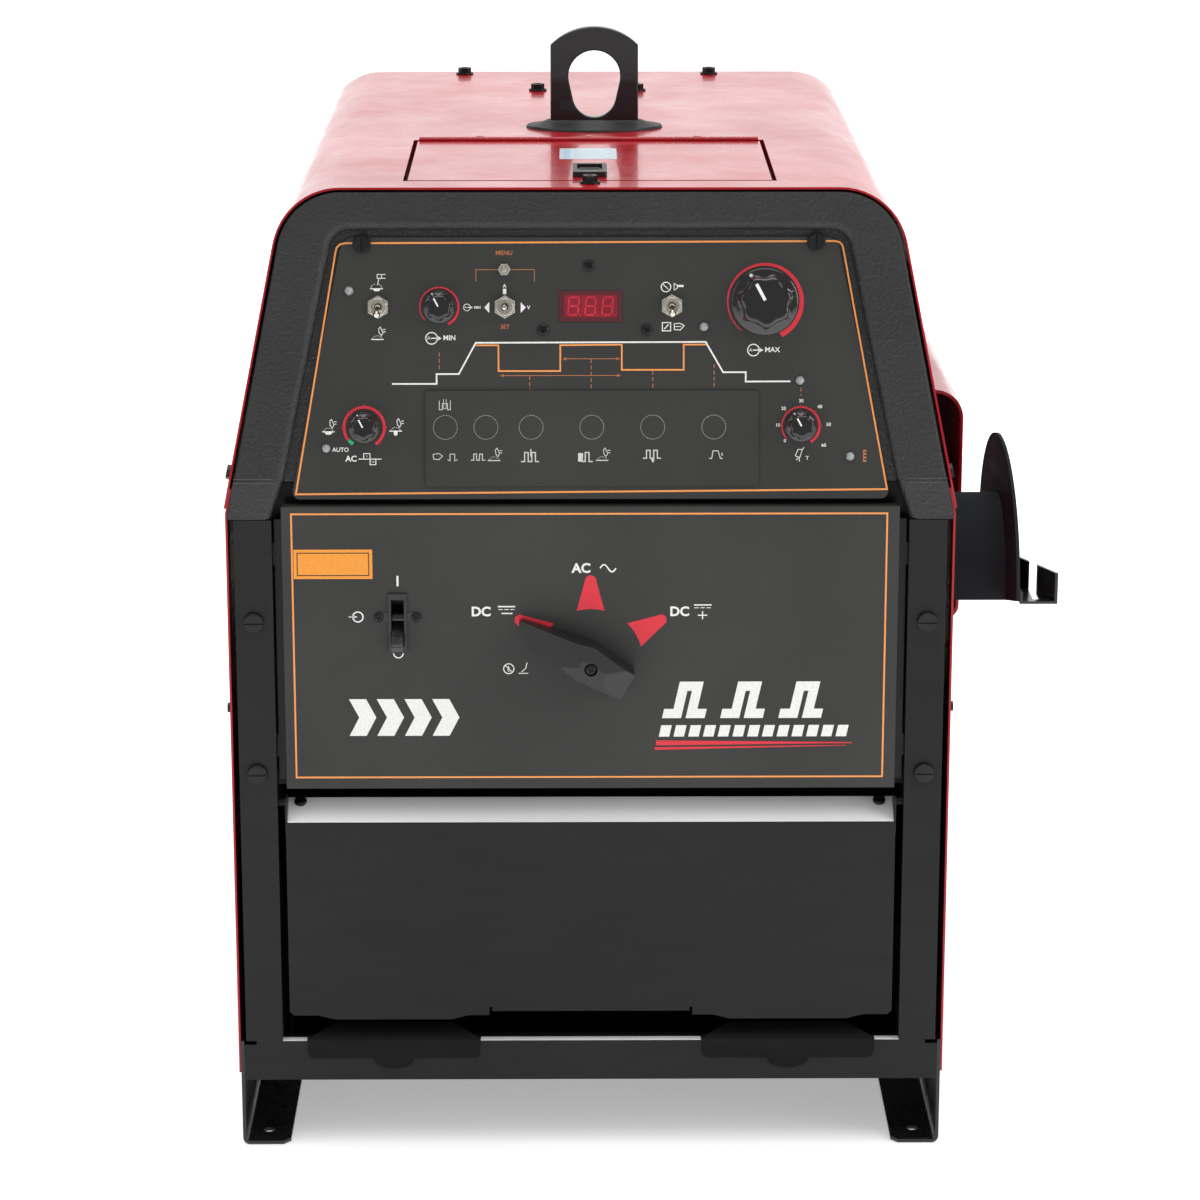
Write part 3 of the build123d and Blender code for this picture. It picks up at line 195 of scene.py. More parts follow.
def lens(name, colour):
    """Clear moulded lens, a little cloudy."""
    mat, tree, bsdf = shader(name, colour, 0.06, coat=0.5)
    bsdf.inputs["Transmission Weight"].default_value = 0.55
    cloud = noise(tree, place(tree), 900.0, 2.0)
    tree.links.new(ramp(tree, cloud, scaled(colour, 0.7), colour), bsdf.inputs["Base Color"])
    return mat


def ink(name, colour, rough=0.55):
    """Screen-printed ink, a little uneven."""
    mat, tree, bsdf = shader(name, colour, rough)
    blot = noise(tree, place(tree), 700.0, 3.0)
    tree.links.new(ramp(tree, blot, scaled(colour, 0.82), colour), bsdf.inputs["Base Color"])
    bump(tree, bsdf, blot, 0.00002, edge=0)
    return mat


def windings():
    """Varnished copper turns, lying level one above the other."""
    mat, tree, bsdf = shader("varnished_copper", (0.4, 0.16, 0.06), 0.35, metal=0.7, coat=0.4)
    wave = tree.nodes.new("ShaderNodeTexWave")
    wave.bands_direction = "Z"
    wave.inputs["Scale"].default_value = 70.0
    wave.inputs["Distortion"].default_value = 0.4
    tree.links.new(place(tree), wave.inputs["Vector"])
    tree.links.new(ramp(tree, wave.outputs["Fac"], (0.12, 0.045, 0.02), (0.5, 0.2, 0.08)),
                   bsdf.inputs["Base Color"])
    bump(tree, bsdf, wave.outputs["Fac"], 0.0006)
    return mat


RED = paint("red_gloss", (0.33, 0.003, 0.01), 0.3, 0.32, gleam=0.22)
BLACK = paint("black_semigloss", (0.0122, 0.0124, 0.0124), 0.42, 0.0, gleam=0.18)
GLOSS_BLACK = paint("black_gloss", (0.008, 0.008, 0.009), 0.3, 0.35, gleam=0.3)
# duller, darker copy of the black paint; its darker colour is painted shade on the output panel and the
# cable guards
SHADED = paint("black_dull_painted_shade", (0.006, 0.006, 0.006), 0.6, 0.0, gleam=0.12)
DRUM = paint("black_drum", (0.027, 0.031, 0.036), 0.35, 0.0, speck=0.4)
DRUM.node_tree.nodes["Principled BSDF"].inputs["IOR"].default_value = 1.01    # next to no reflection
# darker copy of the red paint for the vent hood; the darker colour is painted shade
HOOD = paint("red_satin_painted_shade", (0.24, 0.002, 0.007), 0.3, 0.2, gleam=0.2)
CHARCOAL = grained("charcoal_satin", (0.034, 0.034, 0.0325), 0.5, 1500, 0.00004,
                   spread=0.12, gleam=0.27)
REAR = grained("black_satin", (0.018, 0.018, 0.018), 0.45, 1300, 0.00003)
BEZEL = grained("pebbled_black", (0.0125, 0.013, 0.0135), 0.44, 460, 0.0005, gleam=0.5, edge=0.0012)
NYLON = grained("satin_nylon", (0.012, 0.012, 0.013), 0.4, 1100, 0.00004, edge=0.0009)
MOULDED = grained("moulded_black", (0.014, 0.014, 0.014), 0.5, 900, 0.00005)
RUBBER = grained("boot_rubber", (0.013, 0.013, 0.013), 0.6, 700, 0.00005)
KNOB = gloss("knob_black", (0.0035, 0.0035, 0.004), 0.1)
LEVER = gloss("lever_black", (0.006, 0.006, 0.007), 0.2)
CREAM = gloss("button_white", (0.72, 0.7, 0.66), 0.25)
SMOKED = gloss("display_filter", (0.075, 0.0, 0.005), 0.1, coat=1.0)
NICKEL = plated("nickel_plate", (0.72, 0.68, 0.6), 0.16)
ZINC = plated("zinc_plate", (0.55, 0.56, 0.58), 0.35)
OXIDE = plated("black_oxide", (0.035, 0.035, 0.036), 0.38)
BRASS = plated("turned_brass", (0.75, 0.52, 0.2), 0.25, (1, 8, 1))
ALUMINIUM = plated("extruded_aluminium", (0.62, 0.63, 0.65), 0.35, (1, 1, 0.05))
CORE = grained("varnished_steel", (0.05, 0.035, 0.03), 0.4, 300, 0.0002, coat=0.3)
COPPER = windings()
BOARD = gloss("circuit_laminate", (0.015, 0.12, 0.05), 0.35)
CLEAR = lens("clear_lens", (0.75, 0.78, 0.76))
WHITE_INK = ink("white_ink", (0.85, 0.85, 0.83))
ORANGE_INK = ink("orange_ink", (0.9, 0.33, 0.08))
RED_INK = ink("red_ink", (0.72, 0.02, 0.04))
GREEN_INK = ink("green_ink", (0.02, 0.5, 0.2))
AMBER_INK = ink("amber_ink", (0.5, 0.17, 0.06))
GREY_WHITE_INK = ink("soft_white_ink", (0.62, 0.62, 0.6))
DARK_INK = ink("dark_ink", (0.05, 0.03, 0.02))
BLUE_INK = ink("label_blue", (0.35, 0.5, 0.62), 0.4)
DISPLAY_FIELD = gloss("display_field", (0.2, 0.001, 0.012), 0.15)
DISPLAY_DIGIT = gloss("display_digit", (0.5, 0.01, 0.03), 0.2)
# near-white diffuse paint for the door strip; its brightness is partly a painted highlight
STRIP = paint("pale_strip_painted_highlight", (0.83, 0.84, 0.83), 0.4, 0.0, speck=0.05)
# near-white paint: a painted highlight along the top edge of the base's front flange
EDGE_HIGHLIGHT = paint("flange_edge_highlight", (0.85, 0.85, 0.85), 0.3, 0.0)
# light grey for the bezel's raised lines: a painted highlight on the edges of its groove
GROOVE_HIGHLIGHT = gloss("groove_highlight_grey", (0.07, 0.07, 0.07), 0.35)
LABEL = ink("label_orange", (0.9, 0.32, 0.02), 0.35)
PAPER = ink("label_white", (0.5, 0.58, 0.62), 0.35)

FINISHES = {
    "red_paint": RED, "black_paint": BLACK, "panel_paint": CHARCOAL, "rear_paint": REAR,
    "bezel_plastic": BEZEL, "handle_plastic": NYLON, "lever_plastic": LEVER,
    "knob_plastic": KNOB, "socket_plastic": MOULDED, "nickel": NICKEL, "display_red": SMOKED,
    "lens_clear": CLEAR, "boot_rubber": RUBBER, "dark_screw": OXIDE, "brass_fitting": BRASS,
    "core_steel": CORE, "winding_copper": COPPER, "heatsink_aluminium": ALUMINIUM,
    "board_green": BOARD, "bare_steel": ZINC, "breaker_plastic": MOULDED, "breaker_red": CREAM,
}
SLOT_OF = {part["node"]: part["material_slot"] for part in frame["record"]["subparts"]}
SPECIAL = {                        # nodes that don't look like the rest of their slot; the output panel, the cable guards and the vent hood get darker paint as painted shade
    "cable_hanger": DRUM, "torch_rest": GLOSS_BLACK, "output_panel": SHADED, "vent_hood": HOOD,
    "skid_left": GLOSS_BLACK, "skid_right": GLOSS_BLACK, "lift_bail": GLOSS_BLACK,
    "cable_guard_left": SHADED, "cable_guard_right": SHADED,
}


def coat_nodes():
    """Give every CAD node its finish."""
    for name, node in nodes.items():
        node.data.materials.clear()
        node.data.materials.append(SPECIAL.get(name, FINISHES[SLOT_OF[name]]))


coat_nodes()


# ------------------------------------------------------------------- surfaces
LOOKS_UP = 0.6                     # a face whose normal rises more than this is measured along y


class Face:
    """A flat face of a CAD node. A point on it is (x, z) in mm, where z is the height, or y on a face
    that looks up. Every point lies sink lower than the z that is asked for."""

    def __init__(self, node, facing, sink=0.0):
        mesh = nodes[node].data
        facing = Vector(facing).normalized()
        near = [p for p in mesh.polygons if p.normal.dot(facing) > 0.95]
        biggest = max(near, key=lambda p: p.area)
        corner = mesh.vertices[biggest.vertices[0]].co
        self.sink = sink
        self.normal = biggest.normal.copy()
        self.across = Vector((1, 0, 0))
        self.up = self.normal.cross(self.across).normalized()
        if self.normal.z > LOOKS_UP:
            self.stretch = 1.0 / self.up.y
            self.origin = Vector((0, 0, corner.z + corner.y * self.normal.y / self.normal.z))
        else:
            self.stretch = 1.0 / self.up.z
            self.origin = Vector((0, corner.y + corner.z * self.normal.z / self.normal.y, 0))

    def at(self, x, z, lift=0.0):
        """The place of a point, lift mm above the face."""
        along = (z - self.sink) * self.stretch
        return self.origin + (self.across * x + self.up * along + self.normal * lift) * MM

    def around(self, x, z, r, turn):
        """Point at a clockwise turn from upright, in degrees, on a circle about (x, z)."""
        a = math.radians(turn)
        return x + r * math.sin(a), z + r * math.cos(a) / self.stretch


def new_piece(name, bm, material, body, smooth=False):
    """Turn a bmesh into a piece that rides on a body."""
    bmesh.ops.remove_doubles(bm, verts=bm.verts, dist=1e-7)
    bmesh.ops.recalc_face_normals(bm, faces=bm.faces)
    for face in bm.faces:
        face.smooth = smooth
    if smooth:
        for edge in bm.edges:
            edge.smooth = edge.is_manifold and edge.calc_face_angle(0.0) < math.radians(40)
    mesh = bpy.data.meshes.new(name)
    bm.to_mesh(mesh)
    bm.free()
    mesh.materials.append(material)
    piece = bpy.data.objects.new(name, mesh)
    bpy.context.collection.objects.link(piece)
    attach(piece, body)
    return piece


INK = (0.03, 0.12)                 # printed layer: from, to above the face, mm
OVERPRINT = (0.14, 0.2)            # layer printed over another one
STEEPEST_MITRE = 0.35              # keeps a sharp corner's mitre under three widths


def slab(bm, face, points, lift=INK):
    """Closed flat shape with the given outline."""
    low = [bm.verts.new(face.at(x, z, lift[0])) for x, z in points]
    high = [bm.verts.new(face.at(x, z, lift[1])) for x, z in points]
    bm.faces.new(low)
    bm.faces.new(high[::-1])
    for i in range(len(points)):
        j = (i + 1) % len(points)
        bm.faces.new((low[i], low[j], high[j], high[i]))


def band(bm, face, left, right, closed=False, lift=INK):
    """Closed strip between two rows of points."""
    rows = []
    for (a, b), (c, d) in zip(left, right):
        rows.append([bm.verts.new(face.at(a, b, lift[0])), bm.verts.new(face.at(a, b, lift[1])),
                     bm.verts.new(face.at(c, d, lift[1])), bm.verts.new(face.at(c, d, lift[0]))])
    last = len(rows) if closed else len(rows) - 1
    for i in range(last):
        here, ahead = rows[i], rows[(i + 1) % len(rows)]
        for k in range(4):
            bm.faces.new((here[k], here[(k + 1) % 4], ahead[(k + 1) % 4], ahead[k]))
    if not closed:
        bm.faces.new(rows[0])
        bm.faces.new(rows[-1][::-1])


def stroke(bm, face, points, width, closed=False, lift=INK):
    """Line of even width with mitred corners."""
    left, right = [], []
    count = len(points)
    for i, (x, z) in enumerate(points):
        before = points[i - 1] if closed or i > 0 else None
        after = points[(i + 1) % count] if closed or i < count - 1 else None
        ways = []
        if before:
            ways.append(Vector((x - before[0], z - before[1])).normalized())
        if after:
            ways.append(Vector((after[0] - x, after[1] - z)).normalized())
        way = sum(ways, Vector((0, 0))).normalized()
        side = Vector((-way.y, way.x))
        reach = width / 2 / max(STEEPEST_MITRE, abs(way.dot(ways[0])))
        left.append((x + side.x * reach, z + side.y * reach))
        right.append((x - side.x * reach, z - side.y * reach))
    band(bm, face, left, right, closed, lift)


def dashes(bm, face, a, b, dash, gap, width, lift=INK):
    """Broken straight line from a to b."""
    way = Vector((b[0] - a[0], b[1] - a[1]))
    far = way.length
    way.normalize()
    start = 0.0
    while start < far - 0.2:
        stop = min(far, start + dash)
        stroke(bm, face, [(a[0] + way.x * start, a[1] + way.y * start),
                          (a[0] + way.x * stop, a[1] + way.y * stop)], width, lift=lift)
        start += dash + gap


def arc(bm, face, x, z, r, turns, widths, steps=64, lift=INK):
    """Arc of a circle whose width changes evenly from one end to the other."""
    left, right = [], []
    for i in range(steps + 1):
        t = i / steps
        turn = turns[0] + (turns[1] - turns[0]) * t
        half = (widths[0] + (widths[1] - widths[0]) * t) / 2
        left.append(face.around(x, z, r + half, turn))
        right.append(face.around(x, z, r - half, turn))
    band(bm, face, left, right, lift=lift)


def ring(bm, face, x, z, r, width, steps=48, lift=INK):
    """Closed circle of even width."""
    left = [face.around(x, z, r + width / 2, 360 * i / steps) for i in range(steps)]
    right = [face.around(x, z, r - width / 2, 360 * i / steps) for i in range(steps)]
    band(bm, face, left, right, True, lift)


def disc(bm, face, x, z, r, steps=24, lift=INK):
    """Filled circle."""
    slab(bm, face, [face.around(x, z, r, 360 * i / steps) for i in range(steps)], lift)


def bar(bm, face, x0, x1, z0, z1, lift=INK):
    """Filled rectangle."""
    slab(bm, face, [(x0, z0), (x1, z0), (x1, z1), (x0, z1)], lift)


def letters(bm, face, text, x, z, size, bold=0.0, lift=INK):
    """Plain lettering centred on (x, z). Size is the height of a capital, mm."""
    curve = bpy.data.curves.new("letters", "FONT")
    curve.body = text
    curve.size = size / 0.7 * MM
    curve.align_x = "CENTER"
    curve.align_y = "CENTER"
    curve.offset = bold * MM
    curve.resolution_u = 3
    thick = (lift[1] - lift[0]) * MM
    curve.extrude = thick / 2
    holder = bpy.data.objects.new("letters", curve)
    mesh = bpy.data.meshes.new_from_object(holder)
    middle = face.at(x, z, (lift[0] + lift[1]) / 2)
    turn = Matrix((face.across, face.up, face.normal)).transposed().to_4x4()
    mesh.transform(Matrix.Translation(middle) @ turn)
    bm.from_mesh(mesh)
    bpy.data.meshes.remove(mesh)
    bpy.data.objects.remove(holder)
    bpy.data.curves.remove(curve)


# ------------------------------------------------------------------ fasteners
def spun(bm, face, x, z, profile, shape, steps, turn=0.0):
    """Closed turned shape standing on a face. Profile is (radius, height) from the foot up, and
    shape(angle, ring, radius) is how far the ring numbered ring reaches at an angle."""
    rings = []
    for k, (r, h) in enumerate(profile):
        spots = []
        for i in range(steps):
            angle = 360.0 * i / steps
            u, v = face.around(x, z, shape(angle, k, r), angle + turn)
            spots.append(bm.verts.new(face.at(u, v, h)))
        rings.append(spots)
    for low, high in zip(rings, rings[1:]):
        for i in range(steps):
            j = (i + 1) % steps
            bm.faces.new((low[i], low[j], high[j], high[i]))
    bm.faces.new(rings[0][::-1])
    bm.faces.new(rings[-1])


def cross_reach(angle, arm, half):
    """Outline of a cross recess as a radius."""
    off = abs((angle + 45) % 90 - 45)
    if math.tan(math.radians(off)) * arm <= half:
        return arm / math.cos(math.radians(off))
    return half / math.sin(math.radians(off))


def phillips(bm, face, x, z, r, tall, turn=20.0, lift=0.0):
    """Pan-head screw with a cross recess, which the last two rings cut."""
    def outline(angle, k, size):
        if k < 4:
            return size
        return cross_reach(angle, r * 0.55, r * 0.13) * size
    profile = [(r, lift), (r, lift + tall * 0.45), (r * 0.86, lift + tall * 0.82), (r * 0.66, lift + tall),
               (1.0, lift + tall), (0.8, lift + tall * 0.35)]
    spun(bm, face, x, z, profile, outline, 72, turn)


# ------------------------------------------------------------- control panel
SLOPE = (0, -1, 0.166)             # the way that the sloping faces look
SLOPE_SINK = 1.14                  # marks on them lie this much lower than the heights given here, mm
PANEL = Face("control_panel", SLOPE, SLOPE_SINK)
COVER = Face("option_cover", SLOPE, SLOPE_SINK)
WINDOW = Face("display_module", SLOPE, SLOPE_SINK)
FRONT = Face("lower_panel", (0, -1, 0))

POLARITY = (0, 366)                # middle of the polarity handle on the lower panel, mm
DIALS = {                          # knob: body, middle (x, z), radius and height, mm
    "knob_min": ("min_dial", -104.5, 613.1, 11.4, 15.0),
    "knob_max": ("max_dial", 120.7, 616.5, 23.0, 20.0),
    "knob_balance": ("balance_dial", -156.9, 530.9, 10.9, 15.0),
    "knob_postflow": ("postflow_dial", 146.0, 531.5, 11.0, 15.0),
}
POINTER = -28                      # the way that the dials point, degrees clockwise from upright
FLUTES = 7
ICON_LINE = 0.5                    # width of an icon's lines, mm


def middle_of(knob):
    """Middle of a dial on the control panel, (x, z)."""
    return DIALS[knob][1:3]


def path(bm, face, x, z, *strokes):
    """Small line drawing: each stroke is a row of points given from (x, z)."""
    for points in strokes:
        stroke(bm, face, [(x + a, z + b) for a, b in points], ICON_LINE)


def torch_icon(bm, face, x, z, below=0):
    """Welding torch over a work piece, with a shallow bead under it for below=1 or a deep one for 2."""
    path(bm, face, x, z, [(0.6, 5.2), (1.8, 6.4), (3.6, 2.6), (2.4, 0.6), (1.0, 2.2), (0.6, 5.2)],
         [(3.4, 4.8), (5.4, 4.8)], [(3.8, 3.2), (5.4, 3.2)])
    for a, b in ((-3.4, -1.2), (-2.4, -0.2), (-1.2, 0.4), (0.2, 0.4), (1.6, 0.0), (2.6, -0.8)):
        disc(bm, face, x + a, z + b, 0.3, 8)
    bar(bm, face, x - 4.6, x + 4.0, z - 2.4, z - 1.7)
    if below == 1:
        slab(bm, face, [(x - 3.2, z - 2.4), (x + 2.6, z - 2.4), (x + 1.2, z - 4.0), (x - 1.8, z - 4.0)])
    if below == 2:
        slab(bm, face, [(x - 1.6, z - 2.4), (x + 1.0, z - 2.4), (x + 1.0, z - 4.4), (x - 0.3, z - 5.4),
                        (x - 1.6, z - 4.4)])


def holder_icon(bm, face, x, z):
    """Rod holder over a bead."""
    path(bm, face, x, z, [(0.4, 5.6), (0.4, 3.0), (6.2, 3.0)], [(0.4, 5.6), (6.2, 5.6)],
         [(3.4, 5.6), (3.4, 3.0)], [(1.6, 3.0), (0.6, -1.6)])
    for a, b in ((-3.8, -3.0), (-3.0, -1.8), (-1.6, -1.0), (1.8, -1.2), (3.0, -2.2), (3.6, -3.2)):
        disc(bm, face, x + a, z + b, 0.34, 8)
    bar(bm, face, x - 4.6, x + 4.4, z - 4.4, z - 3.8)
    slab(bm, face, [(x - 2.8, z - 4.4), (x + 2.8, z - 4.4), (x + 1.4, z - 5.8), (x - 1.4, z - 5.8)])


def dial_mark(bm, face, x, z, k=1.0):
    """Ring round a letter, with an arrow to the right, k times the usual size."""
    ring(bm, face, x, z, 4.0 * k, 0.75 * k)
    bar(bm, face, x - 0.4 * k, x + 4.6 * k, z - 0.4 * k, z + 0.4 * k)
    slab(bm, face, [(x + 4.4 * k, z + 1.4 * k), (x + 4.4 * k, z - 1.4 * k), (x + 7.0 * k, z)])
    letters(bm, face, "A", x - 1.9 * k, z, 2.4 * k)


def pulses(bm, face, x, z, count, step, tall, width=0.6):
    """Row of square pulses."""
    points = [(x, z)]
    for i in range(count):
        u = x + step * (i + 0.5)
        points += [(u, z), (u, z + tall), (u + step / 2, z + tall), (u + step / 2, z)]
    points.append((x + step * (count + 0.5), z))
    stroke(bm, face, points, width)


def print_panel_white():
    """The weld cycle's line, and the marks and lettering of the dials and switches."""
    bm = bmesh.new()
    rise = [(-137.4, 560.6), (-106.5, 560.6), (-106.5, 567.3), (-91.1, 567.3), (-79.3, 588.6),
            (79.9, 589.0), (92.0, 568.3), (107.7, 568.3), (107.7, 561.9), (138.7, 562.0)]
    stroke(bm, PANEL, rise, 1.1)
    dial_mark(bm, PANEL, -109.8, 591.7)
    letters(bm, PANEL, "MIN", -97.5, 591.9, 3.4, 0.09)
    dial_mark(bm, PANEL, -85.3, 612.7, 0.58)
    letters(bm, PANEL, "MIN", -78.1, 612.6, 1.8, 0.05)
    dial_mark(bm, PANEL, 113.0, 583.4)
    letters(bm, PANEL, "MAX", 126.1, 583.5, 3.4, 0.09)
    slab(bm, PANEL, [(-69.8, 616.4), (-69.8, 608.9), (-73.3, 612.6)])
    slab(bm, PANEL, [(-48.1, 616.2), (-48.1, 608.9), (-44.6, 612.6)])
    letters(bm, PANEL, "V", -42.6, 612.6, 2.6, 0.05)
    letters(bm, PANEL, "A", -59.2, 627.2, 2.6, 0.05)
    bar(bm, PANEL, -60.4, -58.0, 621.7, 625.4)
    holder_icon(bm, PANEL, -147.6, 629.6)
    torch_icon(bm, PANEL, -147.0, 593.0)
    ring(bm, PANEL, 52.4, 626.4, 3.3, 0.7)
    stroke(bm, PANEL, [(50.4, 628.2), (54.0, 624.9)], 0.6)
    path(bm, PANEL, 61.0, 626.6, [(-3.0, -2.4), (-3.0, 2.2), (-0.8, 1.0), (-0.8, -1.0), (-3.0, -2.4)])
    bar(bm, PANEL, 60.4, 64.6, 626.4, 627.8)
    stroke(bm, PANEL, [(49.9, 596.6), (55.6, 596.6), (55.6, 602.2), (49.9, 602.2)], 0.7, True)
    stroke(bm, PANEL, [(51.2, 597.8), (54.2, 600.9)], 0.8)
    stroke(bm, PANEL, [(58.0, 601.4), (62.0, 601.8), (65.0, 600.2), (62.4, 597.2), (58.2, 597.4)],
           0.6, True)
    stroke(bm, PANEL, [(58.4, 599.5), (63.0, 599.5)], 0.5)
    torch_icon(bm, PANEL, -181.4, 530.0, 1)
    torch_icon(bm, PANEL, -134.8, 530.4, 2)
    letters(bm, PANEL, "AUTO", -173.4, 515.5, 2.9, 0.06)
    letters(bm, PANEL, "AC", -166.1, 509.3, 4.0, 0.14)
    bar(bm, PANEL, -161.0, -145.0, 508.9, 509.5)
    stroke(bm, PANEL, [(-157.4, 509.2), (-157.4, 513.0), (-153.0, 513.0), (-153.0, 509.2)], 0.6)
    stroke(bm, PANEL, [(-153.0, 509.2), (-153.0, 505.4), (-149.0, 505.4), (-149.0, 509.2)], 0.6)
    letters(bm, PANEL, "+", -155.2, 511.1, 1.8)
    bar(bm, PANEL, -152.0, -150.0, 507.1, 507.5)
    for text, x, z in (("0", 135.0, 521.2), ("10", 130.0, 532.0), ("20", 134.0, 543.5),
                       ("30", 146.2, 548.6), ("40", 159.2, 544.6), ("50", 165.3, 532.4),
                       ("60", 162.0, 518.2)):
        letters(bm, PANEL, text, x, z, 2.3, 0.05)
    path(bm, PANEL, 144.8, 510.4, [(-2.6, 0.6), (-0.6, 5.0), (2.4, 5.0), (0.6, -0.6), (-2.6, 0.6)],
         [(-1.8, -2.4), (-0.6, -0.6)], [(0.4, -3.4), (0.2, -0.8)], [(2.4, 5.0), (3.6, 6.4)])
    letters(bm, PANEL, "T", 150.6, 509.4, 2.6, 0.05)
    new_piece("panel_print_white", bm, WHITE_INK, "case")


def print_panel_orange():
    """The panel's frame line, the pulse line, and the dimmer marks round it."""
    bm = bmesh.new()
    corner = [(-175.9, 650.0), (-175.0, 653.4), (-172.8, 655.6), (-169.4, 656.4)]
    right = [(169.7, 657.5), (172.6, 656.6), (174.3, 654.6), (175.1, 651.4)]
    stroke(bm, PANEL, [(-204.7, 485.1)] + corner + right + [(206.2, 488.0)], 1.25, True)
    low = [(-79.4, 586.9), (-63.6, 586.9), (-63.6, 569.3), (-20.8, 569.3), (-20.8, 586.9), (21.8, 587.2),
           (21.8, 570.0), (64.7, 570.0), (64.7, 587.2), (80.2, 587.2)]
    stroke(bm, PANEL, low, 1.1)
    new_piece("panel_print_orange", bm, ORANGE_INK, "case")
    bm = bmesh.new()
    stroke(bm, PANEL, [(-79.0, 630.2), (-79.0, 638.4), (-64.2, 638.4)], 0.45)
    stroke(bm, PANEL, [(-54.4, 638.4), (-38.6, 638.4), (-38.6, 630.2)], 0.45)
    letters(bm, PANEL, "MENU", -59.5, 649.6, 3.0, 0.05)
    letters(bm, PANEL, "SET", -58.9, 599.4, 2.8, 0.05)
    for x, top, foot in ((-104.6, 581.9, 569.6), (0.6, 577.3, 556.6), (-42.0, 565.9, 556.6),
                         (43.3, 569.2, 556.6), (85.8, 573.8, 557.4), (146.1, 557.7, 552.1)):
        dashes(bm, PANEL, (x, top), (x, foot), 2.6, 1.7, 0.55)
    for x0, x1, z in ((-19.2, 20.6, 577.6), (-62.6, 21.0, 566.2)):
        bar(bm, PANEL, x0 + 1.4, x1 - 1.4, z - 0.22, z + 0.22)
        slab(bm, PANEL, [(x0, z), (x0 + 2.6, z - 1.1), (x0 + 2.6, z + 1.1)])
        slab(bm, PANEL, [(x1, z), (x1 - 2.6, z + 1.1), (x1 - 2.6, z - 1.1)])
    for z in (507.4, 509.8, 512.2, 514.4):
        bar(bm, PANEL, 190.0, 191.7, z - 0.6, z + 0.6)
    bar(bm, PANEL, 189.4, 190.0, 506.8, 515.0)
    new_piece("panel_print_amber", bm, AMBER_INK, "case")


def print_panel_red():
    """A red arc round each dial, with ticks on two of them and a green start on one."""
    balance, postflow = middle_of("knob_balance"), middle_of("knob_postflow")
    bm = bmesh.new()
    arc(bm, PANEL, *middle_of("knob_min"), 13.4, (-132, 153), (0.5, 1.7))
    arc(bm, PANEL, *middle_of("knob_max"), 25.6, (-142, 154), (0.5, 3.6), 96)
    arc(bm, PANEL, *balance, 14.0, (-128, 146), (1.9, 1.9))
    arc(bm, PANEL, *postflow, 13.1, (-134, 148), (0.7, 1.9))
    for turn in (-90, -45, 0, 45, 90, 135):
        stroke(bm, PANEL, [PANEL.around(*balance, r, turn) for r in (12.6, 16.0)], 0.5)
    for turn in (-90, -45, 0, 45, 90):
        stroke(bm, PANEL, [PANEL.around(*postflow, r, turn) for r in (12.0, 14.8)], 0.5)
    new_piece("panel_print_red", bm, RED_INK, "case")
    bm = bmesh.new()
    start = [PANEL.around(*balance, 14.0, turn) for turn in (-146, -130)]
    stroke(bm, PANEL, start, 2.4, lift=(INK[0], 0.16))
    new_piece("panel_print_green", bm, GREEN_INK, "case")


def print_cover():
    """Dotted circles for the option's knobs, with a mark under each."""
    row, radius, dots = 531.1, 8.3, 44
    bm = bmesh.new()
    for x in (-100.6, -72.5, -41.1, 1.0, 43.2, 85.6):
        for i in range(dots):
            u, v = COVER.around(x, row, radius, 360 * i / dots)
            disc(bm, COVER, u, v, 0.26, 6)
    stroke(bm, COVER, [(-104.7, 549.5), (-104.7, 543.2), (-102.6, 543.2), (-102.6, 547.4), (-99.0, 547.4),
                       (-99.0, 543.2), (-97.0, 543.2), (-97.0, 549.5)], 0.5)
    stroke(bm, COVER, [(-101.8, 550.4), (-101.8, 544.0), (-99.9, 544.0), (-99.9, 550.4)], 0.4)
    stroke(bm, COVER, [(-109.2, 512.6), (-105.0, 513.2), (-102.6, 511.4), (-105.2, 509.0),
                       (-108.8, 509.4)], 0.5, True)
    stroke(bm, COVER, [(-99.2, 509.0), (-97.4, 508.2), (-97.4, 512.8), (-94.2, 512.8), (-94.2, 508.2),
                       (-92.2, 509.0)], 0.5)
    pulses(bm, COVER, -83.0, 508.6, 2, 4.0, 4.2)
    torch_icon(bm, COVER, -66.6, 510.4)
    pulses(bm, COVER, -48.2, 507.6, 2, 5.0, 6.2, 0.8)
    bar(bm, COVER, -41.8, -41.0, 511.0, 516.2)
    bar(bm, COVER, -8.6, -5.2, 507.6, 513.4)
    pulses(bm, COVER, -6.2, 507.6, 1, 5.2, 6.2, 0.8)
    torch_icon(bm, COVER, 8.4, 510.4)
    pulses(bm, COVER, 36.4, 509.8, 2, 5.0, 5.4, 0.8)
    slab(bm, COVER, [(42.0, 509.2), (44.6, 509.2), (43.3, 506.4)])
    stroke(bm, COVER, [(82.2, 509.6), (84.2, 509.6), (85.0, 514.8), (88.6, 514.8), (90.2, 509.6),
                       (91.8, 509.6)], 0.6)
    letters(bm, COVER, "t", 91.4, 512.6, 2.6, 0.05)
    new_piece("cover_print", bm, GREY_WHITE_INK, "case")


def panel_screws():
    """The display board's three screws."""
    bm = bmesh.new()
    for x, z in ((-0.8, 640.9), (-32.6, 597.3), (39.2, 597.3)):
        phillips(bm, PANEL, x, z, 4.0, 1.8)
    new_piece("panel_screws", bm, OXIDE, "case", smooth=True)


SEGMENTS = {                       # a digit's bars, end to end, in units one wide and two tall
    "a": ((0, 2), (1, 2)), "b": ((1, 2), (1, 1)), "c": ((1, 1), (1, 0)), "d": ((0, 0), (1, 0)),
    "e": ((0, 1), (0, 0)), "f": ((0, 2), (0, 1)), "g": ((0, 1), (1, 1)),
}


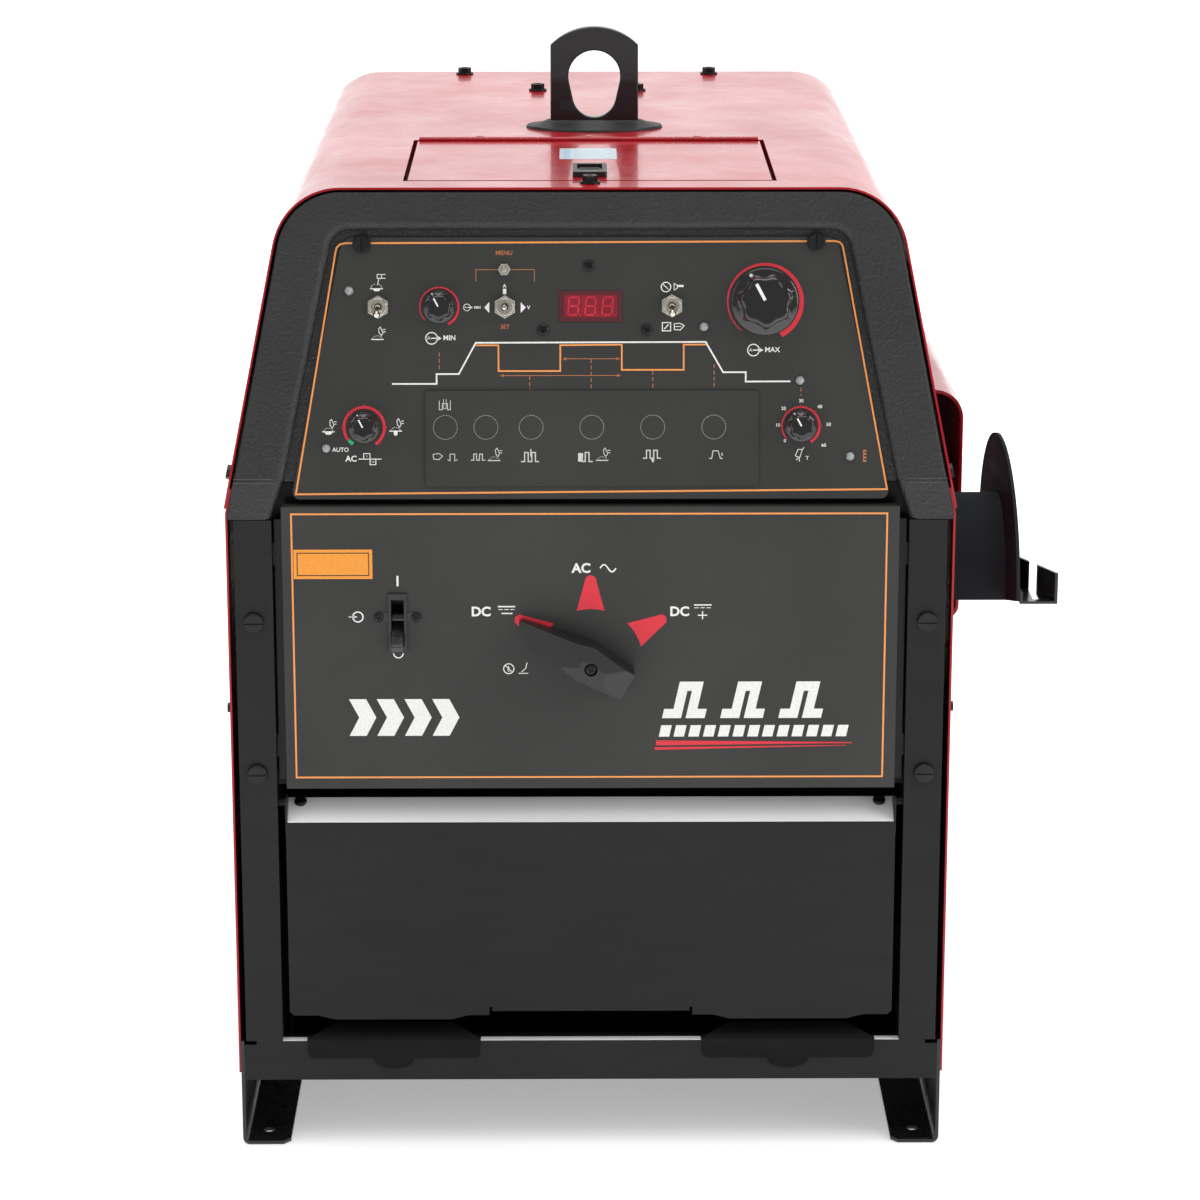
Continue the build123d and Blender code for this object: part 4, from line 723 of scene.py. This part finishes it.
def display_digits():
    """Red field on the display's window, and three seven-segment digits with their points."""
    bm = bmesh.new()
    bar(bm, WINDOW, -18.2, 18.6, 605.9, 621.2)
    new_piece("display_field", bm, DISPLAY_FIELD, "case")
    foot, wide, tall, lean, half = 607.6, 6.8, 6.0, 0.55, 0.62
    bm = bmesh.new()
    for middle in (-11.6, 0.2, 12.0):
        for segment in SEGMENTS.values():
            a, b = [Vector((middle - wide / 2 + wide * u + lean * (v - 1), foot + tall * v))
                    for u, v in segment]
            way = (b - a).normalized()
            side = Vector((-way.y, way.x)) * half
            p, q = a + way * 0.75, b - way * 0.75
            slab(bm, WINDOW, [tuple(p - way * 0.5), tuple(p + side), tuple(q + side), tuple(q + way * 0.5),
                              tuple(q - side), tuple(p - side)], OVERPRINT)
        disc(bm, WINDOW, middle + 4.6, 607.4, 0.6, 10, OVERPRINT)
    new_piece("display_digits", bm, DISPLAY_DIGIT, "case")


def dial(node, body, x, z, radius, tall):
    """Glossy knob with a skirt, a fluted grip, a pointer line and a dot."""
    def outline(angle, k, r):
        if 4 <= k <= 8:            # the rings of the grip, above the skirt
            return r * (1 - 0.055 * (1 - math.cos(math.radians(FLUTES * (angle - POINTER)))))
        return r
    r = radius
    profile = [(r, 0.8), (r, 3.1), (r * 0.975, 3.6), (r * 0.84, 4.0), (r * 0.80, 5.2),
               (r * 0.785, tall - 2.2), (r * 0.765, tall - 1.0), (r * 0.72, tall - 0.25),
               (r * 0.66, tall), (r * 0.4, tall - 0.1)]
    bm = bmesh.new()
    spun(bm, PANEL, x, z, profile, outline, 112)
    cap = new_piece(node + "_cap", bm, KNOB, body, smooth=True)
    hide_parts(node)
    bm = bmesh.new()
    start, stop = PANEL.around(x, z, r * 0.06, POINTER), PANEL.around(x, z, r * 0.61, POINTER)
    stroke(bm, PANEL, (start, stop), r * 0.095, lift=(tall - 0.3, tall + 0.06))
    u, v = PANEL.around(x, z, r * 0.885, POINTER)
    disc(bm, PANEL, u, v, r * 0.055, 20, (3.4, 4.02))
    new_piece(node + "_mark", bm, WHITE_INK, body)


# --------------------------------------------------------------- lower panel
def print_front():
    """The polarity positions' names and symbols, the power switch's marks, and the frame line."""
    bm = bmesh.new()
    letters(bm, FRONT, "AC", -6.5, 431.7, 6.6, 0.3)
    wave = [(6.6 + 11.1 * i / 24, 431.9 + 2.6 * math.sin(i / 24 * 2 * math.pi)) for i in range(25)]
    stroke(bm, FRONT, wave, 1.0)
    letters(bm, FRONT, "DC", -76.7, 400.4, 6.6, 0.3)
    bar(bm, FRONT, -64.8, -52.7, 403.8, 404.8)
    dashes(bm, FRONT, (-64.4, 402.2), (-53.2, 402.2), 3.0, 1.1, 0.5)
    bar(bm, FRONT, -62.3, -54.6, 398.9, 399.8)
    letters(bm, FRONT, "DC", 62.2, 400.3, 6.6, 0.3)
    bar(bm, FRONT, 72.3, 84.7, 404.8, 405.7)
    dashes(bm, FRONT, (72.6, 403.2), (84.4, 403.2), 3.0, 1.2, 0.5)
    bar(bm, FRONT, 75.0, 81.6, 397.4, 398.2)
    bar(bm, FRONT, 77.9, 78.7, 394.9, 400.8, OVERPRINT)
    bar(bm, FRONT, -135.4, -134.0, 419.2, 426.7)
    arc(bm, FRONT, -134.8, 370.6, 3.4, (70, 290), (0.9, 0.9), 40)
    ring(bm, FRONT, -162.8, 397.0, 3.6, 0.9)
    bar(bm, FRONT, -169.3, -164.6, 396.7, 397.3)
    slab(bm, FRONT, [(-166.2, 398.4), (-166.2, 395.6), (-163.0, 397.0)])
    ring(bm, FRONT, -57.5, 359.1, 3.6, 0.7)
    stroke(bm, FRONT, [(-59.8, 361.4), (-55.2, 356.8)], 0.6)
    stroke(bm, FRONT, [(-57.9, 361.2), (-57.0, 359.2), (-58.2, 358.6), (-57.3, 356.8)], 0.5)
    stroke(bm, FRONT, [(-44.6, 363.6), (-45.6, 359.4), (-48.6, 356.6)], 0.6)
    bar(bm, FRONT, -50.6, -43.9, 355.4, 356.0)
    new_piece("front_print_white", bm, WHITE_INK, "case")
    bm = bmesh.new()
    frame_line = [(-208.0, 279.3), (206.3, 279.3), (206.3, 471.0), (-208.0, 471.0)]
    stroke(bm, FRONT, frame_line, 1.25, True)
    new_piece("front_print_orange", bm, ORANGE_INK, "case")


def print_wedges():
    """Red pointers towards the three polarity positions."""
    bm = bmesh.new()
    for middle in (-60.0, 0.0, 60.0):
        outer = [FRONT.around(*POLARITY, 61.0 - 1.6 * abs(t) ** 1.5, middle + 3.2 * t)
                 for t in (-1, -0.5, 0, 0.5, 1)]
        inner = [FRONT.around(*POLARITY, 36.5, middle + t) for t in (15.5, 8, 0, -8, -15.5)]
        slab(bm, FRONT, outer + inner)
    new_piece("front_print_red", bm, RED_INK, "case")


def nameplate():
    """Plain generic marks in place of the maker's: three pulses over a row of slanted blocks and two
    strips, four chevrons, and a label with a border and nothing on it."""
    lower = [(0, -3.4), (13.4, -3.4), (13.4, 16.6), (16.6, 16.6), (16.6, -3.4), (30, -3.4)]
    upper = [(0, 3.4), (6.6, 3.4), (6.6, 23.4), (23.4, 23.4), (23.4, 3.4), (30, 3.4)]
    slant, foot = 0.22, 326.0
    bm = bmesh.new()
    for x0 in (51.0, 92.0, 133.0):
        slab(bm, FRONT, [(x0 + a + slant * b, foot + b) for a, b in lower + upper[::-1]])
    blocks, pitch, z0, z1 = 13, 10.4, 309.0, 317.4
    for i in range(blocks):
        x0 = 48.0 + i * pitch
        slab(bm, FRONT, [(x0, z0), (x0 + 7.4, z0), (x0 + 9.2, z1), (x0 + 1.8, z1)])
    new_piece("nameplate_white", bm, WHITE_INK, "case")
    bm = bmesh.new()
    slab(bm, FRONT, [(46.1, 302.6), (184.6, 304.0), (184.6, 304.7), (46.1, 306.2)])
    slab(bm, FRONT, [(45.1, 299.2), (180.3, 302.2), (180.3, 302.6), (45.1, 301.2)])
    new_piece("nameplate_red", bm, RED_INK, "case")
    chevrons, pitch, z0, z1 = 4, 19.5, 310.0, 337.0
    point = (z0 + z1) / 2
    bm = bmesh.new()
    for i in range(chevrons):
        x0 = -170.0 + i * pitch
        slab(bm, FRONT, [(x0, z0), (x0 + 12.0, z0), (x0 + 19.0, point), (x0 + 12.0, z1), (x0, z1),
                         (x0 + 7.0, point)])
    new_piece("emblem_white", bm, WHITE_INK, "case")
    bm = bmesh.new()
    bar(bm, FRONT, -207.0, -152.1, 424.5, 445.6)
    new_piece("plain_label", bm, LABEL, "case")
    bm = bmesh.new()
    border = [(-204.4, 427.0), (-154.6, 427.0), (-154.6, 443.1), (-204.4, 443.1)]
    stroke(bm, FRONT, border, 0.7, True, OVERPRINT)
    new_piece("plain_label_border", bm, DARK_INK, "case")


def front_screws():
    """Screws of the power switch and of the polarity handle."""
    bm = bmesh.new()
    for x in (-148.0, -122.0):
        phillips(bm, FRONT, x, 397.0, 3.2, 1.9, lift=1.0)
    new_piece("switch_screws", bm, OXIDE, "case", smooth=True)
    bm = bmesh.new()
    phillips(bm, FRONT, *POLARITY, 4.0, 1.8, lift=26.0)
    new_piece("handle_screw", bm, OXIDE, "polarity", smooth=True)


# ------------------------------------------------------------- door and base
def door_strip():
    """Pale strip along the door's sloping top, with a screw at each end. Its near-white colour is partly a
    painted highlight, lifted to stay bright in the lower panel's shade.
    """
    top = Face("output_door", (0, -0.55, 0.83))
    half, front, rear = 215.9, -329.4, -310.4
    bm = bmesh.new()
    bar(bm, top, -half, half, front, rear, (0.05, 0.35))
    new_piece("door_strip", bm, STRIP, "door")
    bm = bmesh.new()
    for x in (-206.8, 205.8):
        phillips(bm, top, x, -313.6, 4.4, 2.2, lift=0.35)
    new_piece("door_screws", bm, OXIDE, "door", smooth=True)


def flange_highlights():
    """Painted highlight along the top of the base's front flange, between the cable guards and outside them.
    """
    pan = Face("base_pan", (0, 0, 1))
    rise = (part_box("base_pan")[1].z - pan.origin.z) / MM
    front, rear = -329.9, -323.4
    bm = bmesh.new()
    for x0, x1 in ((-240.0, -204.6), (-79.4, 79.4), (204.6, 240.0)):
        bar(bm, pan, x0, x1, front, rear, (rise + 0.02, rise + 0.4))
    new_piece("base_edge_highlight", bm, EDGE_HIGHLIGHT, "case")


def corner_pads():
    """Foam pads that close the upper rear corners from inside."""
    rear = Face("rear_panel", (0, 1, 0))
    outline = [(228, 560), (236.9, 560), (225.0, 620), (216, 620)]
    bm = bmesh.new()
    for side in (-1, 1):
        slab(bm, rear, [(side * x, z) for x, z in outline], (-6, -2))
    new_piece("corner_pads", bm, RUBBER, "case")


def bezel_groove_highlights():
    """Two fine raised lines across each leg of the bezel, above and below its fold, in light grey as a
    painted highlight of the fold's groove.
    """
    low, high = Face("bezel", (0, -1, 0)), Face("bezel", SLOPE)
    bm = bmesh.new()
    for side in (-1, 1):
        x0, x1 = sorted((side * 219.8, side * 247.6))
        bar(bm, low, x0, x1, 492.9, 493.5, (0.02, 0.3))
        bar(bm, high, x0, x1, 495.6, 496.2, (0.02, 0.3))
    new_piece("bezel_groove_highlights", bm, GROOVE_HIGHLIGHT, "case")


# ------------------------------------------------------------------------ top
def boot():
    """Smooth flared boot round the lifting plate: a low rim, then a throat that closes on the plate."""
    low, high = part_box("bail_skirt")
    middle = (low + high) / 2
    reach = (high - low) / 2
    plate_y = sum(c.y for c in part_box("lift_bail")) / 2
    rim = (0.0, 0.0012, 0.0019)            # heights of the rim's three rings, m
    throat_x, throat_y = 0.0352, 0.0056    # half width and half depth at the top, m
    rise = high.z - low.z - rim[-1]
    flare = 12                             # rings above the rim
    steps = 72
    bm = bmesh.new()
    rings = []
    for k in range(len(rim) + flare):
        t = max(0.0, (k - 2) / flare)
        height = rim[k] if k < len(rim) else rim[-1] + rise * t ** 1.9
        foot = 1 - 0.01 * min(k, 2)
        a = reach.x * foot * (1 - t) + throat_x * t
        b = reach.y * foot * (1 - t) ** 1.25 + throat_y * (1 - (1 - t) ** 1.25)
        y = middle.y + (plate_y - middle.y) * t
        power = 2.0 + 4.0 * t
        spots = []
        for i in range(steps):
            c, d = math.cos(2 * math.pi * i / steps), math.sin(2 * math.pi * i / steps)
            u = math.copysign(abs(c) ** (2 / power), c) * a
            v = math.copysign(abs(d) ** (2 / power), d) * b
            spots.append(bm.verts.new((middle.x + u, y + v, low.z + height)))
        rings.append(spots)
    for lower, upper in zip(rings, rings[1:]):
        for i in range(steps):
            j = (i + 1) % steps
            bm.faces.new((lower[i], lower[j], upper[j], upper[i]))
    bm.faces.new(rings[0][::-1])
    bm.faces.new(rings[-1])
    piece = new_piece("bail_boot", bm, RUBBER, "case", smooth=True)
    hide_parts("bail_skirt")


def lid_label():
    """Plain pale label on the lid, with blue rules."""
    top = Face("storage_lid", (0, 0, 1))
    bm = bmesh.new()
    bar(bm, top, -21.5, 20.0, -168.0, -116.0)
    new_piece("lid_label", bm, PAPER, "lid")
    bm = bmesh.new()
    for i in range(5):
        y = -162.0 + 9.0 * i
        bar(bm, top, -11.0, 17.0 - 6 * (i % 2), y, y + 2.0, OVERPRINT)
    bar(bm, top, -18.5, -14.0, -162.0, -122.0, OVERPRINT)
    new_piece("lid_label_rules", bm, BLUE_INK, "lid")


print_panel_white()
print_panel_orange()
print_panel_red()
print_cover()
panel_screws()
display_digits()
for knob, (body, x, z, radius, tall) in DIALS.items():
    dial(knob, body, x, z, radius, tall)
print_front()
print_wedges()
nameplate()
front_screws()
door_strip()
flange_highlights()
bezel_groove_highlights()
corner_pads()
boot()
lid_label()


# --------------------------------------------------------------- camera, light
def set_camera():
    """A long lens a little above the machine's top, looking down at its front."""
    data = bpy.data.cameras.new("camera")
    data.lens = 114.75                     # with the sensor's width, in mm
    data.sensor_width = 36.0
    cam = bpy.data.objects.new("camera", data)
    bpy.context.collection.objects.link(cam)
    cam.location = (-0.0119, -2.910, 1.108)
    pitch, yaw = math.radians(15.16), math.radians(0.41)
    ahead = Vector((math.sin(yaw) * math.cos(pitch), math.cos(yaw) * math.cos(pitch), -math.sin(pitch)))
    cam.rotation_mode = "QUATERNION"
    cam.rotation_quaternion = ahead.to_track_quat("-Z", "Y")
    bpy.context.scene.camera = cam


def area_light(name, where, target, size, power):
    """Soft box facing a target, of the given width and height in metres and power in watts."""
    data = bpy.data.lights.new(name, "AREA")
    data.shape = "RECTANGLE"
    data.size, data.size_y = size
    data.energy = power
    lamp = bpy.data.objects.new(name, data)
    bpy.context.collection.objects.link(lamp)
    lamp.location = where
    lamp.rotation_mode = "QUATERNION"
    lamp.rotation_quaternion = (Vector(target) - Vector(where)).to_track_quat("-Z", "Y")


def set_studio():
    """White floor that gives off a little light, white surroundings, a broad overhead sun and soft boxes."""
    half = 14.0
    bm = bmesh.new()
    bmesh.ops.create_grid(bm, x_segments=2, y_segments=2, size=half)
    mesh = bpy.data.meshes.new("floor")
    bm.to_mesh(mesh)
    bm.free()
    mat, tree, bsdf = shader("floor_white", (0.92, 0.92, 0.92), 0.6)
    tree.links.new(ramp(tree, noise(tree, place(tree), 3.0), (0.91, 0.91, 0.91), (0.93, 0.93, 0.93)),
                   bsdf.inputs["Base Color"])
    bsdf.inputs["Emission Color"].default_value = (1, 1, 1, 1)
    bsdf.inputs["Emission Strength"].default_value = 0.38
    mesh.materials.append(mat)
    floor = bpy.data.objects.new("floor", mesh)
    floor.location.z = -0.0005
    bpy.context.collection.objects.link(floor)
    world = bpy.data.worlds.new("studio")
    world.use_nodes = True
    background = world.node_tree.nodes["Background"]
    background.inputs["Color"].default_value = (1, 1, 1, 1)
    background.inputs["Strength"].default_value = 0.4
    bpy.context.scene.world = world
    sun = bpy.data.lights.new("ceiling", "SUN")
    sun.energy = 2.0
    sun.angle = math.radians(75)
    lamp = bpy.data.objects.new("ceiling", sun)
    lamp.rotation_euler = (math.radians(-6), 0, 0)
    bpy.context.collection.objects.link(lamp)
    area_light("top_box", (0, 0.2, 3.4), (0, 0, 0.4), (2.6, 2.2), 26)
    area_light("left_box", (-2.6, -1.6, 1.7), (0, 0, 0.4), (1.4, 2.2), 10)
    area_light("right_box", (2.8, -1.4, 1.5), (0, 0, 0.4), (1.2, 2.0), 36)
    area_light("rear_box", (-0.6, 4.4, 1.65), (-0.6, 0, 1.65), (8.0, 3.3), 92)
    bpy.context.scene.view_settings.view_transform = "Standard"


set_camera()
set_studio()
